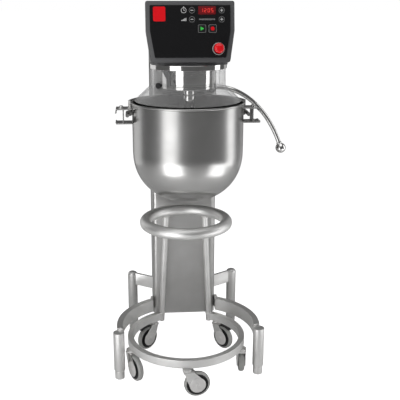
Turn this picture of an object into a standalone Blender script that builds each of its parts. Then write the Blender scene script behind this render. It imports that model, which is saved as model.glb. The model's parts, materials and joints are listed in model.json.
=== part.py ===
"""A 60 litre planetary mixer that stands on four legs, with its bowl trolley rolled in under the bowl.

The bowl's axis is the design axis. x = 0 is the machine's mirror plane, -Y is the operator's side and
z = 0 is the floor. The frame empty stands that axis beside the world origin, so that the world origin
is under the middle of the machine's outline.
"""

import math

import bmesh
import bpy
from mathutils import Matrix, Vector

# Driving dimensions, in metres.
AXIS_X, AXIS_Y = -0.064, -0.158
GAP = 0.0003
MERGE = 0.00001

BOWL_R, BOWL_WALL = 0.228, 0.0025
BOWL_RIM_Z, BOWL_BELT_Z, BOWL_BOTTOM_Z = 1.203, 1.003, 0.7875
BOWL_CURVE = 2.2
BOWL_RIM_R = 0.0042

COLUMN_W, COLUMN_Y, COLUMN_DEPTH = 0.294, 0.2596, 0.300
COLUMN_Z, COLUMN_TOP = 0.1457, 1.3577
COLUMN_CORNER, COLUMN_WALL = 0.020, 0.003

PLATE_T = 0.010
HEAD_TOP, HOOD_FRONT, HOOD_WALL = 1.572, -0.125, 0.0025

PANEL_TOP_W, PANEL_BOTTOM_W, PANEL_H = 0.340, 0.305, 0.230
PANEL_BEND = 0.112
PANEL_CENTRE = (0.0, -0.130, 1.4855)
PANEL_TILT = math.radians(10.3)
PANEL_BORDER = 0.0165
GLASS_T, HOUSING_DEPTH = 0.0042, 0.026

DRUM_R, DRUM_WALL, DRUM_BOTTOM, DRUM_TOP = 0.107, 0.0065, 1.257, 1.3425
ORBIT = 0.060
MODULE = 1 / 300
RING_TEETH, PLANET_TEETH = 54, 18
MAIN_SHAFT_R, TOOL_SHAFT_R = 0.018, 0.0215
MAIN_PULLEY_R, MOTOR_PULLEY_R = 0.090, 0.030
BELT_Z, BELT_W, BELT_T = 1.470, 0.020, 0.005
MOTOR_Y, MOTOR_R = 0.420, 0.070

GUARD_R, GUARD_T = 0.1475, 0.002
GUARD_TOP, GUARD_NECK, GUARD_LIP_Z, GUARD_LIP_R = 1.3375, 1.266, 1.2075, 0.213
GUARD_STEP = 0.0036

ARM_R, ARM_T, ARM_Z, ARM_H = 0.2475, 0.010, 1.138, 0.064
PIN_X, PIN_Z, PIN_R = 0.2475, 1.150, 0.0075
BRACKET_HALF, BRACKET_T = 0.038, 0.004

LEVER_PIVOT = (0.118, 0.215, 1.232)
LEVER_R, BALL_R = 0.0098, 0.023

FRONT_LEG, REAR_LEG = (0.3055, -0.080), (0.2447, 0.394)
FRONT_LEG_R, FRONT_LEG_TOP = 0.0245, 0.2185
REAR_LEG_R, REAR_LEG_TOP = 0.0235, 0.3138
FOOT_R, FOOT_H = 0.021, 0.040
RAIL_R, RAIL_T, RAIL_Z, RAIL_H, RAIL_Y = 0.315, 0.027, 0.168, 0.0585, -0.018
REAR_BAR_Z, REAR_BAR_H, REAR_BAR_T = 0.248, 0.060, 0.012

TROLLEY_PLACE, TROLLEY_TURN = (-0.008, 0.002, 0.0), math.radians(-3)
RING_R, RING_W, RING_Z, RING_H = 0.260, 0.0255, 0.1295, 0.036
RING_GAP = math.radians(27)
SUPPORT_R, SUPPORT_TUBE, SUPPORT_Z = 0.1735, 0.024, 0.688
UPRIGHT_R, UPRIGHT_TURN = 0.013, math.radians(30)

CASTER_R, CASTER_TRAIL, WHEEL_R, WHEEL_W = 0.256, 0.042, 0.0555, 0.026
CASTER_HEAD_R = 0.020
CASTER_NAMES = ("front", "right", "rear_right", "rear_left", "left")
CASTER_TURNS = (8, 85, -50, -138, -62)


def new_collection(name, hidden=False):
    collection = bpy.data.collections.new(name)
    bpy.context.scene.collection.children.link(collection)
    collection.hide_render = hidden
    return collection


def material(name, colour, roughness, metallic=0.0, alpha=1.0):
    made = bpy.data.materials.new(name)
    made.use_nodes = True
    shader = made.node_tree.nodes["Principled BSDF"]
    shader.inputs["Base Color"].default_value = (*colour, 1.0)
    shader.inputs["Roughness"].default_value = roughness
    shader.inputs["Metallic"].default_value = metallic
    shader.inputs["Alpha"].default_value = alpha
    return made


for old in list(bpy.data.objects):
    bpy.data.objects.remove(old, do_unlink=True)

PARTS = new_collection("stand_mixer")
CUTTERS = new_collection("cutters", hidden=True)

SATIN = material("satin_steel", (0.55, 0.54, 0.52), 0.38, 1.0)
BRUSHED = material("brushed_steel", (0.62, 0.61, 0.60), 0.30, 1.0)
POLISHED = material("polished_steel", (0.78, 0.78, 0.78), 0.08, 1.0)
DARK_GREY = material("dark_grey_paint", (0.07, 0.07, 0.075), 0.45)
BLACK_GLASS = material("black_panel", (0.012, 0.012, 0.014), 0.12)
RED = material("red_plastic", (0.62, 0.02, 0.02), 0.30)
BLACK = material("black_plastic", (0.02, 0.02, 0.02), 0.45)
CLEAR = material("clear_plastic", (0.92, 0.94, 0.95), 0.05, alpha=0.3)
TYRE = material("grey_tyre", (0.30, 0.30, 0.29), 0.65)
CAST = material("cast_iron", (0.20, 0.20, 0.20), 0.60, 0.6)
RUBBER = material("belt_rubber", (0.025, 0.025, 0.025), 0.80)


def empty(name, place, turn=(0, 0, 0), parent=None):
    made = bpy.data.objects.new(name, None)
    PARTS.objects.link(made)
    made.parent = parent
    made.location, made.rotation_euler = place, turn
    return made


def add(name, data, look, parent=None, place=(0, 0, 0), turn=(0, 0, 0), hidden=False):
    """A new object with its own material, hung on its parent."""
    made = bpy.data.objects.new(name, data)
    (CUTTERS if hidden else PARTS).objects.link(made)
    made.parent = parent or FRAME
    made.location, made.rotation_euler = place, turn
    if look:
        data.materials.append(look)
    if hidden:
        made.hide_render, made.display_type = True, "WIRE"
    return made


def smooth(made, degrees=35):
    made.data.shade_smooth()
    made.data.set_sharp_from_angle(angle=math.radians(degrees))
    return made


def mesh_of(name, build):
    """A mesh filled by build(bm), with its faces pointing out."""
    data = bpy.data.meshes.new(name)
    bm = bmesh.new()
    build(bm)
    bmesh.ops.recalc_face_normals(bm, faces=bm.faces)
    bm.to_mesh(data)
    bm.free()
    return data


def box(name, size, centre, look, **kw):
    def build(bm):
        bmesh.ops.create_cube(bm, size=1, matrix=Matrix.Translation(centre) @ Matrix.Diagonal((*size, 1)))

    return add(name, mesh_of(name, build), look, **kw)


def cylinder(name, radius, height, centre, look, sides=24, axis="Z", **kw):
    turn = {"X": Matrix.Rotation(math.pi / 2, 4, "Y"), "Y": Matrix.Rotation(math.pi / 2, 4, "X")}

    def build(bm):
        matrix = Matrix.Translation(centre) @ turn.get(axis, Matrix())
        bmesh.ops.create_cone(
            bm, segments=sides, radius1=radius, radius2=radius, depth=height, cap_ends=True, matrix=matrix
        )

    return smooth(add(name, mesh_of(name, build), look, **kw))


def turned(name, profile, look, steps=32, closed=False, **kw):
    """A turned piece: the profile's (radius, height) points run down its outer side."""
    data = bpy.data.meshes.new(name)
    count = len(profile)
    edges = [(i, i + 1) for i in range(count - 1)] + ([(count - 1, 0)] if closed else [])
    data.from_pydata([(r, 0, z) for r, z in profile], edges, [])
    made = add(name, data, look, **kw)
    screw = made.modifiers.new("turn", "SCREW")
    screw.steps = screw.render_steps = steps
    screw.use_merge_vertices, screw.merge_threshold = True, MERGE
    screw.use_smooth_shade = True
    return made


def part_turned(name, profile, look, start, sweep, steps, **kw):
    """A closed (radius, height) profile swept through part of a turn about Z."""

    def build(bm):
        corners = [bm.verts.new((r * math.cos(start), r * math.sin(start), z)) for r, z in profile]
        face = bm.faces.new(corners)
        bmesh.ops.spin(
            bm, geom=[face], cent=(0, 0, 0), axis=(0, 0, 1), angle=sweep, steps=steps, use_duplicate=False
        )

    return smooth(add(name, mesh_of(name, build), look, **kw))


def flat(name, outlines, thickness, look, **kw):
    """A flat piece cut to outline. Outlines after the first are holes. It is centred on its local z = 0."""
    curve = bpy.data.curves.new(name, "CURVE")
    curve.dimensions, curve.fill_mode, curve.extrude = "2D", "BOTH", thickness / 2
    for outline in outlines:
        spline = curve.splines.new("POLY")
        spline.points.add(len(outline) - 1)
        for point, (x, y) in zip(spline.points, outline):
            point.co = (x, y, 0, 1)
        spline.use_cyclic_u = True
    return add(name, curve, look, **kw)


def tube(name, points, radius, look, sides=2, **kw):
    """A round bar along the points."""
    curve = bpy.data.curves.new(name, "CURVE")
    curve.dimensions, curve.bevel_depth, curve.bevel_resolution = "3D", radius, sides
    curve.use_fill_caps = True
    spline = curve.splines.new("POLY")
    spline.points.add(len(points) - 1)
    for point, place in zip(spline.points, points):
        point.co = (*place, 1)
    return add(name, curve, look, **kw)


def as_mesh(made):
    """The same piece as a mesh with welded caps, which a Boolean can cut or join."""
    bpy.context.view_layer.update()
    graph = bpy.context.evaluated_depsgraph_get()
    data = bpy.data.meshes.new_from_object(made.evaluated_get(graph))
    bm = bmesh.new()
    bm.from_mesh(data)
    bmesh.ops.remove_doubles(bm, verts=bm.verts, dist=MERGE)
    bmesh.ops.recalc_face_normals(bm, faces=bm.faces)
    bm.to_mesh(data)
    bm.free()
    name, parent, matrix = made.name, made.parent, made.matrix_world.copy()
    hidden = made.hide_render
    bpy.data.objects.remove(made)
    data.name = name
    again = add(name, data, None, parent=parent, hidden=hidden)
    bpy.context.view_layer.update()
    again.matrix_world = matrix
    return smooth(again)


def boolean(made, other, operation="DIFFERENCE"):
    """Cuts or joins with another object, which becomes a hidden helper."""
    if other.name not in CUTTERS.objects:
        PARTS.objects.unlink(other)
        CUTTERS.objects.link(other)
        other.hide_render, other.display_type = True, "WIRE"
    modifier = made.modifiers.new(operation.lower(), "BOOLEAN")
    modifier.operation, modifier.object = operation, other
    return made


def round_edges(made, width, segments=2, degrees=40):
    bevel = made.modifiers.new("round", "BEVEL")
    bevel.width, bevel.segments = width, segments
    bevel.limit_method, bevel.angle_limit = "ANGLE", math.radians(degrees)
    return made


def polar(radius, turn, centre=(0, 0)):
    return centre[0] + radius * math.cos(turn), centre[1] + radius * math.sin(turn)


def arc(radius, start, end, count, centre=(0, 0)):
    return [polar(radius, start + (end - start) * i / count, centre) for i in range(count + 1)]


def circle(radius, count, centre=(0, 0)):
    return arc(radius, 0, 2 * math.pi, count, centre)[:-1]


def rounded(corners, radii, count=4):
    """A polygon, counter-clockwise, with each corner rounded by an arc."""
    made = []
    for i, corner in enumerate(corners):
        here, radius = Vector(corner), radii[i]
        back = (Vector(corners[i - 1]) - here).normalized()
        ahead = (Vector(corners[(i + 1) % len(corners)]) - here).normalized()
        if radius == 0:
            made.append(tuple(here))
            continue
        half = back.angle(ahead) / 2
        centre = here + (back + ahead).normalized() * radius / math.sin(half)
        first = here + back * radius / math.tan(half) - centre
        turn = math.pi - 2 * half
        start = math.atan2(first.y, first.x)
        made += arc(radius, start, start + turn, count, tuple(centre))
    return made


def rectangle(x0, x1, y0, y1, radius=0.0, count=4):
    return rounded([(x0, y0), (x1, y0), (x1, y1), (x0, y1)], [radius] * 4, count)


FRAME = empty("mixer_frame", (AXIS_X, AXIS_Y, 0))


# The column, with the two slots that the bowl arms' lugs slide in.
LUG_X, LUG_W, LIFT_TRAVEL = 0.075, 0.030, 0.110


def column():
    back = COLUMN_Y + COLUMN_DEPTH
    half, mid_z, height = COLUMN_W / 2, (COLUMN_Z + COLUMN_TOP) / 2, COLUMN_TOP - COLUMN_Z
    outer = rectangle(-half, half, COLUMN_Y, back, COLUMN_CORNER)
    shell = as_mesh(flat("column_shell", [outer], height, SATIN, place=(0, 0, mid_z)))
    wall = COLUMN_WALL
    inner = rectangle(-half + wall, half - wall, COLUMN_Y + wall, back - wall, COLUMN_CORNER - wall)
    hollow = flat("column_hollow", [inner], height, None, place=(0, 0, mid_z + wall), hidden=True)
    boolean(shell, as_mesh(hollow))
    for side, label in ((-1, "left"), (1, "right")):
        top, bottom = ARM_Z + ARM_H + 0.004, ARM_Z - LIFT_TRAVEL - 0.004
        size = (LUG_W + 0.006, 4 * wall, top - bottom)
        centre = (side * LUG_X, COLUMN_Y + wall / 2, (top + bottom) / 2)
        boolean(shell, box("slot_" + label, size, centre, None, hidden=True))
    pivot = (LEVER_PIVOT[0], COLUMN_Y, LEVER_PIVOT[2])
    boolean(shell, cylinder("shaft_hole", 0.0135, 4 * wall, pivot, None, axis="Y", hidden=True))
    cover_z = (0.30, 1.30)
    cover = box(
        "column_back_cover",
        (COLUMN_W - 0.060, 0.010, cover_z[1] - cover_z[0]),
        (0, back + GAP + 0.005, sum(cover_z) / 2),
        SATIN,
    )
    round_edges(cover, 0.003)
    outlet = (0.09, back + GAP, 0.235)
    profile = [
        (0, 0.030), (0.007, 0.030), (0.0095, 0.026), (0.0095, 0.012), (0.015, 0.012), (0.015, 0), (0, 0),
    ]
    turned("cable_gland", profile, BLACK, steps=16, place=outlet, turn=(-math.pi / 2, 0, 0))


def head():
    back, z0 = COLUMN_Y + COLUMN_DEPTH, COLUMN_TOP + GAP
    front, front_half, back_half = -0.116, 0.150, COLUMN_W / 2
    corners = rounded(
        [(-front_half, front), (front_half, front), (back_half, back), (-back_half, back)],
        [0.03, 0.03, COLUMN_CORNER, COLUMN_CORNER],
    )
    holes = [circle(0.0195, 24), circle(MOTOR_R + 0.001, 32, (0, MOTOR_Y))]
    plate_z = z0 + PLATE_T / 2
    flat("head_base_plate", [corners, *holes], PLATE_T, DARK_GREY, place=(0, 0, plate_z))

    bottom = z0 + PLATE_T + GAP
    half, taper, shoulder, length = 0.146, 0.006, 0.040, back - HOOD_FRONT

    def arch(inset, foot):
        wide, top = half - inset, HEAD_TOP - inset
        ends = [(-wide, foot), (wide, foot), (wide - taper, top), (-wide + taper, top)]
        return rounded(ends, [0, 0, shoulder - inset, shoulder - inset], 6)

    upright, middle = (math.pi / 2, 0, 0), (back + HOOD_FRONT) / 2
    hood = as_mesh(flat("head_hood", [arch(0, bottom)], length, SATIN, place=(0, middle, 0), turn=upright))
    inside, place = arch(HOOD_WALL, bottom - 0.02), (0, middle - HOOD_WALL, 0)
    hollow = flat("hood_hollow", [inside], length, None, place=place, turn=upright, hidden=True)
    boolean(hood, as_mesh(hollow))
    # the hood's front end leans back with the control housing that it meets
    clear_z = 0.1 - HOUSING_DEPTH - GLASS_T - 2 * GAP
    clear = box("hood_front_clear", (0.5, 0.4, 0.2), (0, 0, clear_z), None, parent=FACE, hidden=True)
    boolean(hood, clear)


# The control head. Its own frame has +Z out of the face, +Y up the face and its origin in the middle.
def face_outline(inset, corner):
    top, bottom = PANEL_TOP_W / 2 - inset, PANEL_BOTTOM_W / 2 - inset
    high, low = PANEL_H / 2 - inset, -PANEL_H / 2 + inset
    bend = PANEL_H / 2 - PANEL_BEND
    corners = [(-bottom, low), (bottom, low), (top, bend), (top, high), (-top, high), (-top, bend)]
    return rounded(corners, [corner, corner, 0.012, corner, corner, 0.012])


KEY_R, KEY_T, KEY_SIZE = 0.0135, 0.0035, 0.033
KEY_COLUMNS, KEY_ROWS = (0.0065, 0.120), (0.0785, 0.0450)
START_PLACE, STOP_PLACE, ESTOP_PLACE = (0.0445, 0.0102), (0.0850, 0.0102), (0.1070, -0.0660)
DISPLAY_PLACE, BADGE_PLACE = (0.0640, 0.0785), (-0.1175, 0.0650)


def control_head():
    face, depth = FACE, HOUSING_DEPTH
    housing_z = -GLASS_T - GAP - depth / 2
    outline = face_outline(0, 0.008)
    housing = flat("control_housing", [outline], depth, DARK_GREY, parent=face, place=(0, 0, housing_z))
    round_edges(as_mesh(housing), 0.005)
    pocket_r = KEY_R + 0.0005
    keys = [(x, y) for y in KEY_ROWS for x in KEY_COLUMNS]
    holes = [circle(pocket_r, 20, key) for key in keys]
    half = KEY_SIZE / 2 + 0.0005
    for x, y in (START_PLACE, STOP_PLACE):
        holes.append(rectangle(x - half, x + half, y - half, y + half, 0.0055, 3))
    holes.append(circle(0.0090, 16, ESTOP_PLACE))
    glass = face_outline(PANEL_BORDER, 0.004)
    flat("control_panel", [glass, *holes], GLASS_T, BLACK_GLASS, parent=face, place=(0, 0, -GLASS_T / 2))
    window = rectangle(-0.0325, 0.0325, -0.0145, 0.0145, 0.003, 3)
    flat("display_window", [window], 0.001, RED, parent=face, place=(*DISPLAY_PLACE, 0.0005 + GAP))
    badge = rectangle(-0.0235, 0.0235, -0.0275, 0.0275, 0.006, 3)
    flat("badge", [badge], 0.0015, RED, parent=face, place=(*BADGE_PLACE, 0.00075 + GAP))

    key_z = 0.0015 - KEY_T / 2
    names = ("timer_minus", "timer_plus", "speed_minus", "speed_plus")
    for name, place in zip(names, keys):
        cylinder(name, KEY_R, KEY_T, (0, 0, 0), BLACK, sides=20, parent=face, place=(*place, key_z))
    square = rectangle(-KEY_SIZE / 2, KEY_SIZE / 2, -KEY_SIZE / 2, KEY_SIZE / 2, 0.005, 3)
    for name, place in (("start_button", START_PLACE), ("stop_button", STOP_PLACE)):
        flat(name, [square], KEY_T, BLACK, parent=face, place=(*place, key_z))
    mushroom = [
        (0, 0.030), (0.0088, 0.0293), (0.0156, 0.0265), (0.0195, 0.0215), (0.0195, 0.0180), (0.0178, 0.0150),
        (0.0125, 0.0130), (0.0082, 0.0110), (0.0082, 0.0012), (0, 0.0012),
    ]
    turned("emergency_stop_button", mushroom, RED, steps=20, parent=face, place=(*ESTOP_PLACE, 0))


# The drive: motor, belt, main shaft and the planetary gear that turns the tool as it orbits.
def gear(teeth, tip, root, tip_half, root_half):
    """A gear outline. The tooth's half widths at tip and root are lengths along the circle."""
    made = []
    for i in range(teeth):
        middle = 2 * math.pi * i / teeth
        for radius, half in ((root, -root_half), (tip, -tip_half), (tip, tip_half), (root, root_half)):
            made.append(polar(radius, middle + half / radius))
    return made


def drive():
    ring_pitch, planet_pitch = RING_TEETH * MODULE / 2, PLANET_TEETH * MODULE / 2
    ring_half_step = math.pi * ring_pitch / RING_TEETH
    inside = gear(RING_TEETH, ring_pitch - 0.0026, ring_pitch + 0.0036, 0.0010, 0.0022)
    phase = -math.pi / 2 + ring_half_step / ring_pitch
    inside = [polar(math.hypot(x, y), math.atan2(y, x) + phase) for x, y in inside]
    flat("ring_gear", [circle(0.0985, 48), inside], 0.036, CAST, place=(0, 0, COLUMN_TOP - 0.018))
    planet = gear(PLANET_TEETH, planet_pitch + 0.0026, planet_pitch - 0.0036, 0.0009, 0.0022)
    planet = [polar(math.hypot(x, y), math.atan2(y, x) - math.pi / 2) for x, y in planet]
    flat(
        "planet_gear", [planet, circle(0.0123, 20)], 0.018, CAST, parent=TOOL, place=(0, 0, DRUM_TOP - 0.0125)
    )

    floor = DRUM_BOTTOM + 0.012
    drum = [
        (DRUM_R - DRUM_WALL, DRUM_TOP), (DRUM_R - 0.002, DRUM_TOP), (DRUM_R, DRUM_TOP - 0.002),
        (DRUM_R, DRUM_BOTTOM + 0.004), (DRUM_R - 0.004, DRUM_BOTTOM), (0, DRUM_BOTTOM), (0, floor),
        (DRUM_R - DRUM_WALL, floor),
    ]
    drum = [drum[-2], drum[-1], *drum[:-2]]
    shell = as_mesh(turned("planet_drum", drum, POLISHED, steps=40))
    boolean(shell, cylinder("tool_hole", 0.0128, 0.05, (0, -ORBIT, floor), None, hidden=True))

    top = BELT_Z + BELT_W / 2 + 0.015
    shaft = [
        (0, top), (MAIN_SHAFT_R, top), (MAIN_SHAFT_R, floor + 0.012), (0.024, floor + 0.010),
        (0.024, floor + GAP), (0, floor + GAP),
    ]
    turned("main_shaft", shaft, SATIN, steps=24)
    lip, flange = 0.003, 0.005
    low, high = BELT_Z - BELT_W / 2 - 0.001, BELT_Z + BELT_W / 2 + 0.001
    pulley = [
        (MAIN_SHAFT_R + GAP, high + lip), (MAIN_PULLEY_R + flange, high + lip),
        (MAIN_PULLEY_R + flange, high), (MAIN_PULLEY_R, high),
        (MAIN_PULLEY_R, low), (MAIN_PULLEY_R + flange, low),
        (MAIN_PULLEY_R + flange, low - lip), (MAIN_SHAFT_R + GAP, low - lip),
    ]
    turned("main_pulley", pulley, CAST, steps=28, closed=True)
    seat = COLUMN_TOP + GAP + PLATE_T + GAP
    housing = [
        (MAIN_SHAFT_R + 0.0006, 1.440), (0.036, 1.440), (0.040, 1.436), (0.040, seat + 0.008),
        (0.062, seat + 0.008), (0.062, seat), (MAIN_SHAFT_R + 0.0006, seat),
    ]
    turned("bearing_housing", housing, CAST, steps=24, closed=True)

    motor_bottom = 1.120
    motor = [
        (0, seat + 0.010), (0.088, seat + 0.010), (0.088, seat), (MOTOR_R, seat),
        (MOTOR_R, motor_bottom + 0.015), (MOTOR_R - 0.012, motor_bottom), (0, motor_bottom),
    ]
    turned("motor", motor, CAST, steps=32, place=(0, MOTOR_Y, 0))
    rotor = [
        (0, top), (0.012, top), (0.012, high + lip), (MOTOR_PULLEY_R + flange, high + lip),
        (MOTOR_PULLEY_R + flange, high), (MOTOR_PULLEY_R, high), (MOTOR_PULLEY_R, low),
        (MOTOR_PULLEY_R + flange, low), (MOTOR_PULLEY_R + flange, low - lip), (0.012, low - lip),
        (0.012, seat + 0.0105), (0, seat + 0.0105),
    ]
    turned("motor_pulley", rotor, CAST, steps=24, place=(0, MOTOR_Y, 0))

    def loop(offset):
        """The belt's line round both pulleys."""
        lean = math.asin((MAIN_PULLEY_R - MOTOR_PULLEY_R) / MOTOR_Y)
        large = arc(MAIN_PULLEY_R + offset, math.pi - lean, 2 * math.pi + lean, 28)
        small = arc(MOTOR_PULLEY_R + offset, lean, math.pi - lean, 12, (0, MOTOR_Y))
        return large + small

    # the extra clearance covers the chord of a faceted pulley
    inner, outer = loop(0.0006), loop(0.0006 + BELT_T)
    flat("drive_belt", [outer, inner], BELT_W, RUBBER, place=(0, 0, BELT_Z))


def tool():
    """The tool shaft and the flat beater, which keeps clear of the bowl's inside by a constant margin."""
    seat = DRUM_BOTTOM - 0.0005
    shaft = [
        (0, DRUM_TOP - 0.001), (0.012, DRUM_TOP - 0.001), (0.012, seat), (TOOL_SHAFT_R, seat),
        (TOOL_SHAFT_R, 1.150), (TOOL_SHAFT_R - 0.003, 1.147), (0, 1.147),
    ]
    turned("beater_shaft", shaft, POLISHED, steps=24, parent=TOOL)
    margin, edge = 0.012, 0.024

    def half_width(z):
        return min(bowl_radius(z) - BOWL_WALL - ORBIT - margin, 0.152)

    def side(inset, high, low, count):
        heights = [high + (low - high) * i / count for i in range(count + 1)]
        return [(max(half_width(z) - inset, 0.004), z) for z in heights]

    shoulder, neck, low = 1.075, 1.1465, 0.8125
    right = side(0, shoulder, low, 14)
    outline = [(0.020, neck), *right] + [(-x, z) for x, z in reversed(right)] + [(-0.020, neck)]
    rib = 0.007
    windows = []
    for high, bottom in ((1.060, 0.985), (0.968, 0.905), (0.888, 0.850)):
        inner = side(edge, high, bottom, 5)
        windows.append([(rib, high), *inner, (rib, bottom)])
        windows.append([(-rib, high)] + [(-x, z) for x, z in inner] + [(-rib, bottom)])
    flat("beater", [outline, *windows], 0.014, SATIN, parent=TOOL, turn=(math.pi / 2, 0, 0))


def bowl_radius(z):
    """The bowl's outer radius at a height."""
    if z >= BOWL_BELT_Z:
        return BOWL_R
    drop = min((BOWL_BELT_Z - z) / (BOWL_BELT_Z - BOWL_BOTTOM_Z), 1)
    return BOWL_R * (1 - drop**BOWL_CURVE) ** (1 / BOWL_CURVE)


def bowl():
    def wall(inset):
        """From the belt line down to the bottom of the bowl."""
        made = []
        for i in range(11):
            angle = math.pi / 2 * i / 10
            r = (BOWL_R - inset) * math.cos(angle) ** (2 / BOWL_CURVE)
            deep = (BOWL_BELT_Z - BOWL_BOTTOM_Z - inset) * math.sin(angle) ** (2 / BOWL_CURVE)
            made.append((r if i < 10 else 0, BOWL_BELT_Z - deep))
        return made

    rim_z, rim_x = BOWL_RIM_Z - BOWL_RIM_R, BOWL_R + 0.0005
    rim = [(rim_x + x, rim_z + z) for x, z in arc(BOWL_RIM_R, math.pi, -math.pi / 3, 8)]
    inside = list(reversed(wall(BOWL_WALL)))
    profile = inside + [(BOWL_R - BOWL_WALL, rim_z - 0.006)] + rim + [(BOWL_R, rim_z - 0.010)] + wall(0)
    turned("bowl", profile, BRUSHED, steps=40, parent=LIFT)

    top, bottom = 1.1785, 1.1165
    root, web, tip = BOWL_R - 0.008, 0.262, 0.297
    t, under = BRACKET_T, BRACKET_T + 0.0005
    # the web and its two flanges open outward, and the upper flange hooks down at its outer end
    profile = [
        (root, top - t), (web, top - t), (web, bottom + t), (root, bottom + t), (root, bottom),
        (tip - 0.004, bottom), (tip - 0.001, bottom + t + 0.003), (tip - 0.005, bottom + t + 0.003),
        (tip - 0.007, bottom + under), (web + t, bottom + under), (web + t, top - under),
        (tip - 0.009, top - under),
        (tip - 0.006, top - 0.018), (tip, top - 0.018), (tip - 0.004, top), (root, top),
    ]
    for side, label in ((-1, "left"), (1, "right")):
        outline = [(side * x, z) for x, z in profile]
        name, upright = "bowl_bracket_" + label, (math.pi / 2, 0, 0)
        made = as_mesh(flat(name, [outline], 2 * BRACKET_HALF, SATIN, parent=LIFT, turn=upright))
        name, centre = "bowl_clear_" + label, (0, 0, (top + bottom) / 2)
        clear = cylinder(name, BOWL_R + 0.0008, 0.3, centre, None, sides=96, parent=LIFT, hidden=True)
        boolean(made, clear)


def lift():
    """The carriage inside the column, and the two curved arms that hold the bowl."""
    lug_y, mid_z = 0.2505, ARM_Z + ARM_H / 2
    block = box("lift_carriage", (0.236, 0.050, ARM_H - 0.004), (0, 0.298, mid_z), CAST, parent=LIFT)
    for side, label in ((-1, "left"), (1, "right")):
        size = (LUG_W, 0.290 - lug_y, ARM_H - 0.008)
        centre = (side * LUG_X, (0.290 + lug_y) / 2, mid_z)
        boolean(block, box("lug_" + label, size, centre, None, parent=LIFT, hidden=True), "UNION")
        ends = [math.radians(88), math.asin(0.041 / ARM_R)]
        band = arc(ARM_R, *ends, 18) + arc(ARM_R - ARM_T, *reversed(ends), 18)
        band = [(side * x, y) for x, y in band]
        name = "bowl_arm_" + label
        arm = as_mesh(flat(name, [band], ARM_H, SATIN, parent=LIFT, place=(0, 0, mid_z)))
        pad_y = (0.226, lug_y - GAP)
        size = (LUG_W + 0.010, pad_y[1] - pad_y[0], ARM_H - 0.010)
        centre = (side * LUG_X, sum(pad_y) / 2, mid_z)
        boolean(arm, box("pad_" + label, size, centre, None, parent=LIFT, hidden=True), "UNION")
        hide = {"parent": LIFT, "hidden": True}
        inside = cylinder("arm_clear_" + label, ARM_R - ARM_T, 0.2, (0, 0, ARM_Z), None, sides=96, **hide)
        boolean(arm, inside)
        pin_place = (side * PIN_X, 0.017, PIN_Z)
        pin = cylinder("pin_" + label, PIN_R, 0.090, pin_place, None, sides=16, axis="Y", **hide)
        boolean(arm, pin, "UNION")


def lever():
    """The lever's rod leaves its hub level and curves down to the ball beside the bowl."""
    y = LEVER_PIVOT[1]
    start, tip = Vector((0, 0)), Vector((0.3165, -0.2735))
    top, out = Vector((0.120, 0.015)), Vector((0.255, -0.085))
    points = []
    for i in range(19):
        t = i / 18
        u = 1 - t
        points.append(u**3 * start + 3 * u**2 * t * top + 3 * u * t**2 * out + t**3 * tip)
    end = points[-1] - (points[-1] - points[-2]).normalized() * (BALL_R + 0.0006)
    rod = [(p.x, 0, p.y) for p in points[:-1] if (p - tip).length > BALL_R + 0.006] + [(end.x, 0, end.y)]
    made = as_mesh(tube("lift_lever", rod, LEVER_R, POLISHED, sides=2, parent=LEVER))
    hub_y, hide = (-0.012, COLUMN_Y - y - 0.001), {"axis": "Y", "parent": LEVER, "hidden": True}
    hub = cylinder("hub", 0.024, hub_y[1] - hub_y[0], (0, sum(hub_y) / 2, 0), None, **hide)
    boolean(made, hub, "UNION")
    shaft = cylinder("shaft", 0.0125, 0.150, (0, 0.085, 0), None, sides=20, **hide)
    boolean(made, shaft, "UNION")

    def ball(bm):
        bmesh.ops.create_uvsphere(bm, u_segments=16, v_segments=10, radius=BALL_R)

    smooth(add("lever_ball", mesh_of("lever_ball", ball), POLISHED, parent=LEVER, place=(tip.x, 0, tip.y)))


def guard():
    """A clear collar and skirt in two nested sections, hung from a steel ring under the head."""
    ring_top = COLUMN_TOP - GAP
    ring = [
        (GUARD_R - 0.006, ring_top), (GUARD_R + 0.009, ring_top), (GUARD_R + 0.009, GUARD_TOP + 0.0006),
        (GUARD_R - 0.006, GUARD_TOP + 0.0006),
    ]
    turned("guard_ring", ring, POLISHED, steps=48, closed=True)

    def skirt(offset):
        outer = [
            (GUARD_R + GUARD_T + offset, GUARD_TOP),
            (GUARD_R + GUARD_T + offset, GUARD_NECK + offset / 2),
            (GUARD_LIP_R + GUARD_T + offset, GUARD_LIP_Z),
        ]
        inner = [
            (GUARD_LIP_R + offset - 0.0007, GUARD_LIP_Z),
            (GUARD_R + offset, GUARD_NECK + offset / 2 + 0.0008),
            (GUARD_R + offset, GUARD_TOP),
        ]
        return outer + inner

    start, sweep = math.radians(22), math.radians(136)
    part_turned("guard_rear", skirt(0), CLEAR, start, sweep, 20)
    start, sweep = math.radians(152), math.radians(236)
    part_turned("guard_front", skirt(GUARD_STEP), CLEAR, start, sweep, 32)
    radius, turn = GUARD_R + GUARD_STEP + GUARD_T + GAP, math.radians(224)
    knob = [
        (0, 0.022), (0.008, 0.022), (0.0115, 0.019), (0.0115, 0.011), (0.006, 0.007), (0.006, 0), (0, 0),
    ]
    place = (*polar(radius + 0.0006, turn), GUARD_NECK + 0.014)
    turned("guard_knob", knob, BLACK, steps=16, place=place, turn=(0, math.pi / 2, turn))

    # a bracket from the head down to the collar's inside, on the operator's left
    top, wide, narrow, waist, low = COLUMN_TOP - GAP, 0.038, 0.012, 1.300, 1.272
    outline = [(0, top), (-wide, top), (-wide, top - 0.010), (-narrow, waist), (-narrow, low), (0, low)]
    place, upright = (-0.078, -0.078, 0), (math.pi / 2, 0, 0)
    flat("guard_hanger", [outline], 0.003, DARK_GREY, place=place, turn=upright)


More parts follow.
